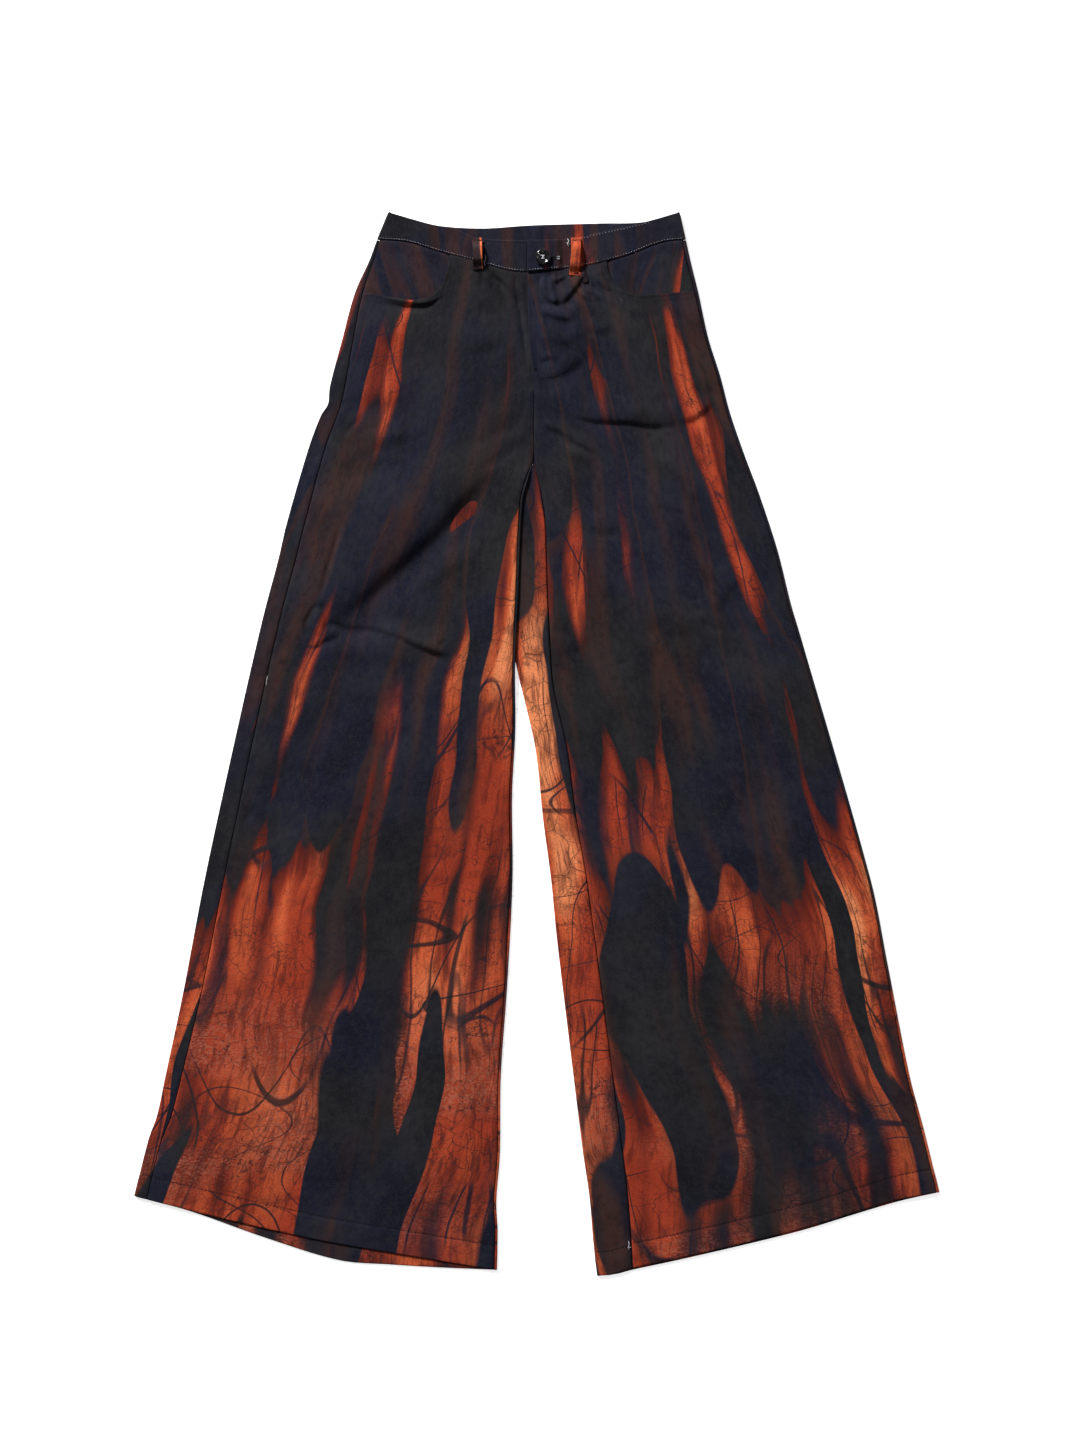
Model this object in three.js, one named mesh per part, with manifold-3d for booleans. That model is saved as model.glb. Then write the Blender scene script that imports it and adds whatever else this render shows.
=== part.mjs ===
// Flared trousers laid flat on a surface, front side up, as closed walls of cloth.
//
// Millimetres. The draft measures x across from the centre front, positive towards the
// wearer's left, and "down" from the waist corners towards the hems. In the finished
// group +Y points to the waist and +Z up, and the origin is at the middle of the
// footprint, on the surface that the cloth lies on.
//
// Each leg is a flat tube: the back panel lies below, turns up round both folds and ends
// on the upper side at the seams, and the front panel fills the space between the seams.

import * as THREE from 'three';
import { mergeVertices } from 'three/addons/utils/BufferGeometryUtils.js';
import Module from 'manifold-3d';

const wasm = await Module();
wasm.setup();

const { lerp, smoothstep, degToRad } = THREE.MathUtils;

// ---------------------------------------------------------------- driving dimensions

const WALL = 1.0; // one layer of cloth
const HEM_WALL = 1.6; // the turned-up hem
const HEM_DEPTH = 25;
const BAND_WALL = 2.4; // the waistband, folded double over its interlining
const SEAM_GAP = 0.3; // between pieces that are sewn edge to edge, and between layers
const BAND_GAP = 0.5; // between the waistband and the panels below it
const LAP_LIFT = WALL + SEAM_GAP; // how much one layer raises the layer that laps over it

const LEG_HOLLOW = 0.5; // between the back and the front in the legs
const HIP_HOLLOW = 1.7; // the same in the hips, where the cloth lies slacker
const HIP_END = { from: 130, to: 220 }; // down: where the hip hollow runs out
const BAND_HOLLOW = 0.4; // between the waistband's back and front

const CROTCH = 256; // down, at the centre
const CENTRE_MARGIN = 6; // width, beside the centre back seam, of what turns up below
const LAP_FLAT = 14; // from the right leg's inner edge: fully raised up to here,
const LAP_END = 46; // and back on the surface here
const FLY = { right: 24, bottom: 188 }; // the right front's extension under the left front
const FOLD_STEPS = 3; // facets round each fold
const FOLD_STRIP = 2.3; // least width of back panel on the upper side of a fold

const CLOTH_COLOUR = '#272a35';
const FACING_COLOUR = '#5b2f2b';
const LOOP_COLOUR = '#6b332c';
const BUTTON_COLOUR = '#0b0b0d';

// ---------------------------------------------------------------- the draft

// The waistband's four long edges. The front dips in the middle, so the inside of the
// back shows above it.
const BAND = {
  frontTop: [
    { x: -150.4, down: 0 },
    { x: -107, down: 12.4 },
    { x: -81, down: 17.5 },
    { x: -58, down: 26.6 },
    { x: -4, down: 28.8 },
    { x: 42, down: 26.8 },
    { x: 68, down: 20.6 },
    { x: 114, down: 10.3 },
    { x: 150.4, down: 0 },
  ],
  frontBottom: [
    { x: -162.2, down: 28.5 },
    { x: -130, down: 31 },
    { x: -97, down: 41 },
    { x: -60, down: 50.5 },
    { x: -20, down: 61.5 },
    { x: 15, down: 60 },
    { x: 55, down: 55 },
    { x: 95, down: 45 },
    { x: 133, down: 31 },
    { x: 156.8, down: 28.5 },
  ],
  backTop: [
    { x: -150.4, down: 0 },
    { x: -107, down: 12.4 },
    { x: -56, down: 16.5 },
    { x: -4, down: 13.4 },
    { x: 68, down: 11.3 },
    { x: 114, down: 9.8 },
    { x: 150.4, down: 0 },
  ],
  backBottom: [
    { x: -162.2, down: 28.5 },
    { x: -107, down: 43 },
    { x: -56, down: 47.5 },
    { x: 0, down: 45 },
    { x: 68, down: 42.5 },
    { x: 114, down: 40 },
    { x: 156.8, down: 28.5 },
  ],
  underlapEnd: 22, // x where the right end stops, under the left end
  overlapEnd: -7, // x where the left end stops, on top
  overlapRise: 7, // length over which the left end climbs on to the right end
};

// Each leg's long edges: "edge" is the fold, the outline seen from above, and "strip" is
// how far the back panel comes round it on to the upper side, up to the seam.
const LEGS = {
  right: {
    side: -1,
    outer: [
      { down: 29, edge: -162.2, strip: 2.8 },
      { down: 49, edge: -169.5, strip: 4 },
      { down: 83, edge: -184.6, strip: 7.4 },
      { down: 134, edge: -198.5, strip: 11 },
      { down: 180, edge: -210.6, strip: 15 },
      { down: 198, edge: -212.6, strip: 12.8 },
      { down: 209, edge: -219.6, strip: 16 },
      { down: 243, edge: -232.4, strip: 16.6 },
      { down: 322, edge: -255.4, strip: 18.2 },
      { down: 358, edge: -263.7, strip: 17.5 },
      { down: 416, edge: -279.1, strip: 17.5 },
      { down: 544, edge: -308.5, strip: 18.1 },
      { down: 690, edge: -340.1, strip: 19.1 },
      { down: 803, edge: -361.5, strip: 17.9 },
      { down: 893, edge: -380.6, strip: 15.4 },
      { down: 931, edge: -388.7, strip: 13.5 },
      { down: 956, edge: -397.6, strip: 12.4 },
      { down: 1014, edge: -412, strip: 12.4 },
    ],
    inner: [
      { down: 256, edge: -0.15, strip: 0 },
      { down: 273, edge: -5.2, strip: FOLD_STRIP },
      { down: 299, edge: -11.7, strip: FOLD_STRIP },
      { down: 396, edge: -16.2, strip: FOLD_STRIP },
      { down: 467, edge: -19.2, strip: FOLD_STRIP },
      { down: 534, edge: -19.1, strip: FOLD_STRIP },
      { down: 600, edge: -22.4, strip: FOLD_STRIP },
      { down: 688, edge: -22, strip: FOLD_STRIP },
      { down: 796, edge: -27.4, strip: FOLD_STRIP },
      { down: 890, edge: -34, strip: FOLD_STRIP },
      { down: 970, edge: -35, strip: FOLD_STRIP },
      { down: 1020, edge: -38.7, strip: FOLD_STRIP },
      { down: 1050, edge: -37.3, strip: FOLD_STRIP },
      { down: 1090, edge: -38.4, strip: FOLD_STRIP },
    ],
    frontHem: [
      { x: -412, down: 1014 },
      { x: -353, down: 1029 },
      { x: -278, down: 1047 },
      { x: -210, down: 1061.5 },
      { x: -148, down: 1072 },
      { x: -97, down: 1080.5 },
      { x: -38.4, down: 1090 },
    ],
    backHem: [
      { x: -412, down: 1014 },
      { x: -353, down: 1030 },
      { x: -278, down: 1056.5 },
      { x: -201, down: 1080 },
      { x: -148, down: 1084.5 },
      { x: -97, down: 1087.5 },
      { x: -38.4, down: 1090 },
    ],
    // The edge of the right front at the centre: the fly extension under the left front,
    // then the centre seam.
    centreFront: [
      { down: 56, x: 22 },
      { down: 150, x: 22 },
      { down: 187, x: -0.15 },
      { down: 256, x: -0.15 },
    ],
    pocketMouth: [
      [-86.5, 43.5],
      [-90, 62],
      [-97, 79],
      [-110, 88.5],
      [-133, 91.5],
      [-154, 87],
      [-177, 83],
    ],
    // The inner edge lies over the left leg just below the crotch.
    lapsOverOtherLeg: true,
  },
  left: {
    side: 1,
    outer: [
      { down: 29, edge: 156.8, strip: 4 },
      { down: 53, edge: 162.1, strip: 3.5 },
      { down: 83, edge: 169.5, strip: 3.1 },
      { down: 130, edge: 179.8, strip: FOLD_STRIP },
      { down: 169, edge: 192.1, strip: FOLD_STRIP },
      { down: 207, edge: 202.2, strip: FOLD_STRIP },
      { down: 250, edge: 217, strip: FOLD_STRIP },
      { down: 290, edge: 232, strip: FOLD_STRIP },
      { down: 348, edge: 251, strip: FOLD_STRIP },
      { down: 404, edge: 265, strip: FOLD_STRIP },
      { down: 434, edge: 274, strip: FOLD_STRIP },
      { down: 688, edge: 347.1, strip: FOLD_STRIP },
      { down: 775, edge: 364.6, strip: FOLD_STRIP },
      { down: 890, edge: 387.3, strip: FOLD_STRIP },
      { down: 946, edge: 402.2, strip: FOLD_STRIP },
      { down: 1010, edge: 417.8, strip: FOLD_STRIP },
    ],
    inner: [
      { down: 256, edge: 0.15, strip: 0 },
      { down: 273, edge: -4.7, strip: 7.7 },
      { down: 290, edge: -8.6, strip: 15.6 },
      { down: 320, edge: -16, strip: 27 },
      { down: 358, edge: -22.7, strip: 35.3 },
      { down: 400, edge: -25, strip: 39 },
      { down: 440, edge: -23.5, strip: 39.5 },
      { down: 477, edge: -16.2, strip: 34.4 },
      { down: 500, edge: -10.6, strip: 32 },
      { down: 554, edge: 1.5, strip: 32.1 },
      { down: 626, edge: 9.3, strip: 33.7 },
      { down: 688, edge: 17.5, strip: 35.9 },
      { down: 746, edge: 23.2, strip: 38.1 },
      { down: 842, edge: 34.7, strip: 39.1 },
      { down: 968, edge: 50.2, strip: 39.8 },
      { down: 1015, edge: 57.1, strip: 38.7 },
      { down: 1063, edge: 61.2, strip: 38.4 },
      { down: 1096, edge: 65.3, strip: 36.2 },
    ],
    frontHem: [
      { x: 65.3, down: 1096 },
      { x: 82, down: 1094 },
      { x: 101, down: 1088 },
      { x: 141, down: 1079.5 },
      { x: 213, down: 1063 },
      { x: 279, down: 1046.5 },
      { x: 331, down: 1030.5 },
      { x: 377, down: 1017 },
      { x: 417.8, down: 1010 },
    ],
    backHem: [
      { x: 65.3, down: 1096 },
      { x: 82, down: 1095 },
      { x: 101, down: 1090 },
      { x: 141, down: 1081.5 },
      { x: 213, down: 1065 },
      { x: 279, down: 1048.5 },
      { x: 331, down: 1032.5 },
      { x: 377, down: 1019 },
      { x: 417.8, down: 1010 },
    ],
    // The free edge of the fly, which laps over the right front, then the centre seam.
    centreFront: [
      { down: 56, x: -7 },
      { down: 132, x: -5 },
      { down: 168, x: 0.15 },
      { down: 256, x: 0.15 },
    ],
    pocketMouth: [
      [74.5, 50.5],
      [79, 67],
      [89, 80],
      [109, 86],
      [137, 84],
      [166, 81],
    ],
    lapsOverOtherLeg: false,
  },
};

// Where the rows of a panel meet the leg's outer and inner edges, and how many steps lead
// on to the next line. The hem's own lines follow from the hem tables.
const ROW_LINES = {
  waist: { outer: 29, inner: 45, steps: 4 },
  pocketEnd: { outer: 83, inner: 120, steps: 9 },
  crotch: { outer: 242, inner: CROTCH, steps: 20 },
  knee: { outer: 478, inner: 494, steps: 9 },
};
const MOUTH_STEPS = 6; // rows of the front that end on the pocket mouth
const FRONT_COLUMNS = 19;
const BACK_COLUMNS = 4; // across the flat of the lower layer
const FACING_COLUMNS = 7;

// The largest folds of the upper side. Each runs from one point to another with its
// middle "bow" mm aside, "width" across, and "height" up, or down where negative.
const FOLDS = [
  { name: 'right thigh swell', x: -95, down: 250, toX: -215, toDown: 370, bow: 0, width: 34, height: 4.5 },
  { name: 'right thigh trough', x: -42, down: 272, toX: -192, toDown: 412, bow: -6, width: 15, height: -5.5 },
  { name: 'right inner thigh swell', x: -45, down: 330, toX: -150, toDown: 425, bow: 0, width: 28, height: 4.0 },
  { name: 'right knee hollow', x: -205, down: 424, toX: -100, toDown: 436, bow: -6, width: 13, height: -3.5 },
  { name: 'right knee ridge', x: -232, down: 456, toX: -78, toDown: 466, bow: -14, width: 13, height: 4.5 },
  { name: 'left hip ridge', x: 30, down: 201, toX: 180, toDown: 202, bow: 7, width: 12, height: 3.5 },
  { name: 'left hip hollow', x: 34, down: 219, toX: 176, toDown: 218, bow: 7, width: 11, height: -2.5 },
  { name: 'left short crease', x: 24, down: 236, toX: 66, toDown: 252, bow: 3, width: 9, height: 2.5 },
  { name: 'left thigh swell', x: 100, down: 262, toX: 205, toDown: 305, bow: 10, width: 26, height: 3.5 },
  { name: 'left knee hollow', x: 150, down: 440, toX: 255, toDown: 470, bow: 0, width: 24, height: -2.0 },
];
const SLACK_RISE = 2.6; // how far the front billows up off the back between its folds

// Belt loops: "across" is the place along the band, from -1 at the right corner to 1 at the
// left. The front ones run from the band's top edge to "pastSeam" below its seam.
const FRONT_LOOPS = [
  { name: 'belt_loop_front_right', across: -0.372, turn: 3 },
  { name: 'belt_loop_front_left', across: 0.277, turn: -2 },
];
const BACK_LOOPS = [
  { name: 'belt_loop_back_right', across: -0.56 },
  { name: 'belt_loop_back_centre', across: 0 },
  { name: 'belt_loop_back_left', across: 0.56 },
];
const LOOP = { width: 11, wall: 1.1, foot: 4.5, clear: 4.7, ramp: 4, pastSeam: 9 };

const BUTTON = { x: 9.3, down: 47, radius: 8, thick: 3, holes: 4, holeRadius: 0.9, holeOffset: 2.1 };

// ---------------------------------------------------------------- curves

// A smooth curve through the rows of a table: the column "value" as a function of "place".
function curve(rows, place, value) {
  const last = rows.length - 1;
  const slope = (i) => {
    const before = rows[Math.max(i - 1, 0)];
    const after = rows[Math.min(i + 1, last)];
    return (after[value] - before[value]) / (after[place] - before[place]);
  };
  return (at) => {
    if (at <= rows[0][place]) return rows[0][value];
    if (at >= rows[last][place]) return rows[last][value];
    const i = rows.findIndex((row, n) => n < last && at < rows[n + 1][place]);
    const length = rows[i + 1][place] - rows[i][place];
    const t = (at - rows[i][place]) / length;
    const rise = rows[i + 1][value] - rows[i][value];
    const bend = t * (1 - t) * ((slope(i) * length - rise) * (1 - t) - (slope(i + 1) * length - rise) * t);
    return rows[i][value] + rise * t + bend;
  };
}

function straight(rows, place, value) {
  return (at) => {
    const i = rows.findIndex((row, n) => n === rows.length - 2 || at < rows[n + 1][place]);
    const t = THREE.MathUtils.clamp((at - rows[i][place]) / (rows[i + 1][place] - rows[i][place]), 0, 1);
    return lerp(rows[i][value], rows[i + 1][value], t);
  };
}

const bandEdge = {
  frontTop: curve(BAND.frontTop, 'x', 'down'),
  frontBottom: curve(BAND.frontBottom, 'x', 'down'),
  backTop: curve(BAND.backTop, 'x', 'down'),
  backBottom: curve(BAND.backBottom, 'x', 'down'),
};

for (const leg of Object.values(LEGS)) {
  const outerStrip = curve(leg.outer, 'down', 'strip');
  const innerStrip = curve(leg.inner, 'down', 'strip');
  leg.outerEdge = curve(leg.outer, 'down', 'edge');
  leg.innerEdge = curve(leg.inner, 'down', 'edge');
  leg.outerSeam = (down) => leg.outerEdge(down) - leg.side * outerStrip(down);
  leg.innerSeam = (down) => leg.innerEdge(down) + leg.side * innerStrip(down);
  leg.centreEdge = straight(leg.centreFront, 'down', 'x');
  leg.hem = {
    front: curve(leg.frontHem, 'x', 'down'),
    back: curve(leg.backHem, 'x', 'down'),
  };
  leg.outerHem = leg.outer.at(-1).down;
  leg.innerHem = leg.inner.at(-1).down;
  leg.mouth = new THREE.SplineCurve(leg.pocketMouth.map(([x, down]) => new THREE.Vector2(x, down)));
}

// ---------------------------------------------------------------- heights

function hollow(down) {
  return lerp(HIP_HOLLOW, LEG_HOLLOW, smoothstep(down, HIP_END.from, HIP_END.to));
}

// The right leg's inner edge is raised where it lies over the left leg.
function lapOverLeg(leg, x, down) {
  if (!leg.lapsOverOtherLeg || down < CROTCH) return 0;
  const height = 2 * WALL + LEG_HOLLOW + SEAM_GAP + 0.1;
  const along = smoothstep(down, CROTCH - 2, 292) * (1 - smoothstep(down, 478, 530));
  const fromEdge = leg.innerEdge(down) - x;
  return height * along * (1 - smoothstep(fromEdge, LAP_FLAT, LAP_END));
}

function foldHeight(fold, x, down) {
  const dx = fold.toX - fold.x;
  const dy = fold.toDown - fold.down;
  const length = Math.hypot(dx, dy);
  const along = ((x - fold.x) * dx + (down - fold.down) * dy) / length ** 2;
  if (along <= 0 || along >= 1) return 0;
  const aside = ((down - fold.down) * dx - (x - fold.x) * dy) / length;
  const fromMiddle = aside - fold.bow * 4 * along * (1 - along);
  return fold.height * Math.sin(Math.PI * along) * Math.exp(-((fromMiddle / fold.width) ** 2));
}

// How far the front stands up off its flat level: slack and folds, none at the edges.
function relief(leg, x, down) {
  const fromOuter = (x - leg.outerEdge(down)) * -leg.side;
  const fromInner = (leg.innerEdge(Math.max(down, CROTCH)) - x) * -leg.side;
  const legShare = smoothstep(down, CROTCH - 70, CROTCH);
  const outerShare = smoothstep(fromOuter, 3, 40);
  const innerShare = lerp(1, smoothstep(fromInner, 13, 45), legShare);
  const waistShare = smoothstep(down, 70, 130);
  const hemShare = 1 - smoothstep(down, 960, 1030);
  const folds = FOLDS.reduce((sum, fold) => sum + foldHeight(fold, x, down), 0);
  const centreShare = down < CROTCH ? smoothstep(Math.abs(x), 4, 30) : 1;
  const flyShare = lerp(1, centreShare, smoothstep(down, 186, CROTCH));
  const raised = Math.max(SLACK_RISE + folds, 0);
  return raised * outerShare * innerShare * waistShare * hemShare * flyShare;
}

// The front is raised once more where it lies on a pocket facing or on the fly extension.
function frontLap(leg, x, down) {
  const facing = FACING[leg.side];
  const pastSide = (facing.innerTop - x) * leg.side;
  const pastBottom = down - facing.bottom(x);
  const pocket = (1 - smoothstep(pastSide, 3, 33)) * (1 - smoothstep(pastBottom, 3, 38));
  if (leg.side < 0) return LAP_LIFT * pocket;
  const fly = (1 - smoothstep(x, FLY.right, FLY.right + 20)) * (1 - smoothstep(down, FLY.bottom, FLY.bottom + 24));
  return LAP_LIFT * Math.max(pocket, fly);
}

function facingOf(leg) {
  const mouthTop = leg.mouth.points[0].x;
  const innerTop = mouthTop - leg.side * 25;
  const innerBottom = { x: mouthTop - leg.side * 21, down: 116 };
  const [sideRow] = sharedRows(leg).slice(1);
  const side = { x: leg.outerSeam(sideRow.outer), down: sideRow.outer };
  const bottom = (x) => lerp(side.down, innerBottom.down, (x - side.x) / (innerBottom.x - side.x));
  return { innerTop, innerBottom, bottom };
}
const FACING = { [-1]: facingOf(LEGS.right), [1]: facingOf(LEGS.left) };

// Centre heights of the two layers of cloth.
function lowerHeight(leg, x, down, wall) {
  return wall / 2 + lapOverLeg(leg, x, down);
}

function upperHeight(leg, x, down, wall) {
  return wall * 1.5 + hollow(down) + lapOverLeg(leg, x, down) + relief(leg, x, down);
}

function frontHeight(leg, x, down, wall) {
  return upperHeight(leg, x, down, wall) + frontLap(leg, x, down);
}

// ---------------------------------------------------------------- walls

// A point of a wall's middle surface on a height function, with its outward normal.
// facing is 1 for a layer that is seen from above and -1 for one seen from below.
function onLayer(height, leg, x, down, wall, facing) {
  const reach = 1;
  const slopeX = (height(leg, x + reach, down, wall) - height(leg, x - reach, down, wall)) / (2 * reach);
  const slopeY = -(height(leg, x, down + reach, wall) - height(leg, x, down - reach, wall)) / (2 * reach);
  return {
    point: new THREE.Vector3(x, -down, height(leg, x, down, wall)),
    normal: new THREE.Vector3(-slopeX, -slopeY, 1).normalize().multiplyScalar(facing),
    wall,
  };
}

// The steps of a fold from the lower layer (0) round to the upper layer (1), or back.
function foldPoint(x, down, low, high, wall, outward, turn) {
  const radius = (high - low) / 2;
  const angle = degToRad(lerp(-90, 90, turn));
  const normal = new THREE.Vector3(Math.cos(angle) * outward, 0, Math.sin(angle));
  const centre = new THREE.Vector3(x - outward * (wall / 2 + radius), -down, (low + high) / 2);
  return { point: centre.addScaledVector(normal, radius), normal, wall };
}

// A closed wall from a grid of middle points: rows of { point, normal, wall }.
function wallGeometry(rows) {
  const across = rows[0].length;
  const positions = [];
  for (const face of [1, -1]) {
    for (const row of rows) {
      for (const { point, normal, wall } of row) {
        positions.push(...point.clone().addScaledVector(normal, (face * wall) / 2).toArray());
      }
    }
  }
  const inside = rows.length * across;
  const index = [];
  const quad = (a, b, c, d) => index.push(a, b, c, a, c, d);
  for (let r = 0; r < rows.length - 1; r++) {
    for (let c = 0; c < across - 1; c++) {
      const a = r * across + c;
      quad(a, a + across, a + across + 1, a + 1);
      quad(inside + a, inside + a + 1, inside + a + across + 1, inside + a + across);
    }
  }
  const rim = [];
  for (let c = 0; c < across - 1; c++) rim.push(c);
  for (let r = 0; r < rows.length - 1; r++) rim.push(r * across + across - 1);
  for (let c = across - 1; c > 0; c--) rim.push((rows.length - 1) * across + c);
  for (let r = rows.length - 1; r > 0; r--) rim.push(r * across);
  rim.forEach((a, i) => {
    const b = rim[(i + 1) % rim.length];
    quad(a, b, inside + b, inside + a);
  });
  const geometry = new THREE.BufferGeometry();
  geometry.setAttribute('position', new THREE.Float32BufferAttribute(positions, 3));
  geometry.setIndex(index);
  return facingOut(geometry);
}

// Turns a closed geometry right side out.
function facingOut(geometry) {
  const position = geometry.attributes.position;
  const index = geometry.index;
  const [a, b, c] = [new THREE.Vector3(), new THREE.Vector3(), new THREE.Vector3()];
  let volume = 0;
  for (let i = 0; i < index.count; i += 3) {
    a.fromBufferAttribute(position, index.getX(i));
    b.fromBufferAttribute(position, index.getX(i + 1));
    c.fromBufferAttribute(position, index.getX(i + 2));
    volume += a.dot(b.cross(c));
  }
  if (volume < 0) {
    for (let i = 0; i < index.count; i += 3) {
      const swap = index.getX(i);
      index.setX(i, index.getX(i + 1));
      index.setX(i + 1, swap);
    }
  }
  geometry.computeVertexNormals();
  return geometry;
}

function toManifold(geometry) {
  const bare = geometry.clone();
  bare.deleteAttribute('normal');
  bare.deleteAttribute('uv');
  const merged = mergeVertices(bare, 1e-4);
  const mesh = new wasm.Mesh({
    numProp: 3,
    vertProperties: new Float32Array(merged.attributes.position.array),
    triVerts: new Uint32Array(merged.index.array),
  });
  return new wasm.Manifold(mesh);
}

function fromManifold(solid) {
  const mesh = solid.getMesh();
  const geometry = new THREE.BufferGeometry();
  geometry.setAttribute('position', new THREE.Float32BufferAttribute(mesh.vertProperties, 3));
  geometry.setIndex(Array.from(mesh.triVerts));
  geometry.computeVertexNormals();
  return geometry;
}

function cut(geometry, tools) {
  const solid = tools.reduce((left, tool) => left.subtract(toManifold(tool)), toManifold(geometry));
  return fromManifold(solid);
}

// ---------------------------------------------------------------- rows of the panels

// The rows from the pocket's end to the hem, which a leg's front and back share, so their
// walls stay edge to edge along both seams.
function sharedRows(leg) {
  const { pocketEnd, crotch, knee } = ROW_LINES;
  const stitchLine = { outer: leg.outerHem - HEM_DEPTH, inner: leg.innerHem - HEM_DEPTH };
  const beforeStitch = { outer: stitchLine.outer - 1, inner: stitchLine.inner - 1 };
  const hem = { outer: leg.outerHem, inner: leg.innerHem };
  const rows = [];
  const addSteps = (from, to, steps) => {
    for (let i = 0; i < steps; i++) {
      rows.push({
        outer: lerp(from.outer, to.outer, i / steps),
        inner: lerp(from.inner, to.inner, i / steps),
        wall: WALL,
      });
    }
  };
  addSteps(pocketEnd, crotch, pocketEnd.steps);
  addSteps(crotch, knee, crotch.steps);
  addSteps(knee, beforeStitch, knee.steps);
  rows.push({ ...beforeStitch, wall: WALL }, { ...stitchLine, wall: HEM_WALL }, { ...hem, wall: HEM_WALL });
  for (const row of rows) {
    row.hemShare = smoothstep(row.inner, knee.inner, leg.innerHem - HEM_DEPTH);
    row.waistShare = 1 - smoothstep(row.inner, ROW_LINES.waist.inner, CROTCH);
  }
  return rows;
}

// The rows beside the pocket mouth, which the back and the pocket facing share.
function topRows() {
  const { waist, pocketEnd } = ROW_LINES;
  return Array.from({ length: waist.steps }, (_, i) => {
    const inner = lerp(waist.inner, pocketEnd.inner, i / waist.steps);
    return {
      outer: lerp(waist.outer, pocketEnd.outer, i / waist.steps),
      inner,
      wall: WALL,
      hemShare: 0,
      waistShare: 1 - smoothstep(inner, waist.inner, CROTCH),
    };
  });
}

// Where a row lies in the draft at x: a straight line between the leg's edges, bent
// towards the waistband seam near the top and towards the hem near the bottom.
function rowDown(leg, row, x, layer) {
  const outerX = leg.outerEdge(row.outer);
  const innerX = row.inner > CROTCH ? leg.innerEdge(row.inner) : 0;
  const across = (x - outerX) / (innerX - outerX);
  let down = lerp(row.outer, row.inner, across);
  const along = THREE.MathUtils.clamp(across, 0, 1);
  const hemX = lerp(leg.outerEdge(leg.outerHem), leg.innerEdge(leg.innerHem), along);
  down += row.hemShare * (leg.hem[layer](hemX) - lerp(leg.outerHem, leg.innerHem, along));
  if (layer === 'back') {
    const { waist } = ROW_LINES;
    const waistX = lerp(leg.outerEdge(waist.outer), 0, along);
    const seam = bandEdge.backBottom(waistX) + BAND_GAP;
    down += row.waistShare * (seam - lerp(waist.outer, waist.inner, along));
  }
  return down;
}

// ---------------------------------------------------------------- panels

function frontPanel(leg) {
  const rows = sharedRows(leg);
  const first = rows[0];
  const gap = leg.side * SEAM_GAP;
  const outerX = (row) => leg.outerSeam(row.outer) - gap;
  const innerX = (row) => {
    if (row.inner > CROTCH + 1) return leg.innerSeam(row.inner) + gap;
    if (row.inner > CROTCH - 1) return leg.centreEdge(row.inner) + 2 * gap;
    return leg.centreEdge(row.inner);
  };
  const grid = [];

  // Above the pocket's end the rows start on the mouth, and the first follows the band.
  const topX = (u) => lerp(leg.mouth.points[0].x, leg.centreEdge(0), u);
  const mouthEnd = { x: outerX(first), down: rowDown(leg, first, outerX(first), 'front') };
  const seamLine = (x) => bandEdge.frontBottom(x) + BAND_GAP;
  for (let i = 0; i < MOUTH_STEPS; i++) {
    const f = i / MOUTH_STEPS;
    const mouth = leg.mouth.getPoint(f);
    const towardsEnd = smoothstep(f, 0.6, 1);
    const startX = lerp(mouth.x, mouthEnd.x + (mouth.x - leg.mouth.getPoint(1).x), towardsEnd);
    const startDown = i === 0 ? seamLine(startX) : mouth.y;
    const endX = leg.centreEdge(0);
    const endDown = lerp(seamLine(endX), rowDown(leg, first, innerX(first), 'front'), f);
    grid.push(columns(FRONT_COLUMNS).map((u) => {
      const x = lerp(startX, endX, u);
      const bend = seamLine(topX(u)) - lerp(seamLine(topX(0)), seamLine(endX), u);
      const down = lerp(startDown, endDown, u) + (1 - f) * bend;
      return onLayer(frontHeight, leg, x, down, WALL, 1);
    }));
  }
  for (const row of rows) {
    grid.push(columns(FRONT_COLUMNS).map((u) => {
      const x = lerp(outerX(row), innerX(row), u);
      return onLayer(frontHeight, leg, x, rowDown(leg, row, x, 'front'), row.wall, 1);
    }));
  }
  return wallGeometry(grid);
}

function columns(steps) {
  return Array.from({ length: steps + 1 }, (_, i) => i / steps);
}

function backPanel(leg) {
  return wallGeometry([...topRows(), ...sharedRows(leg)].map((row) => backRow(leg, row)));
}

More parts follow.
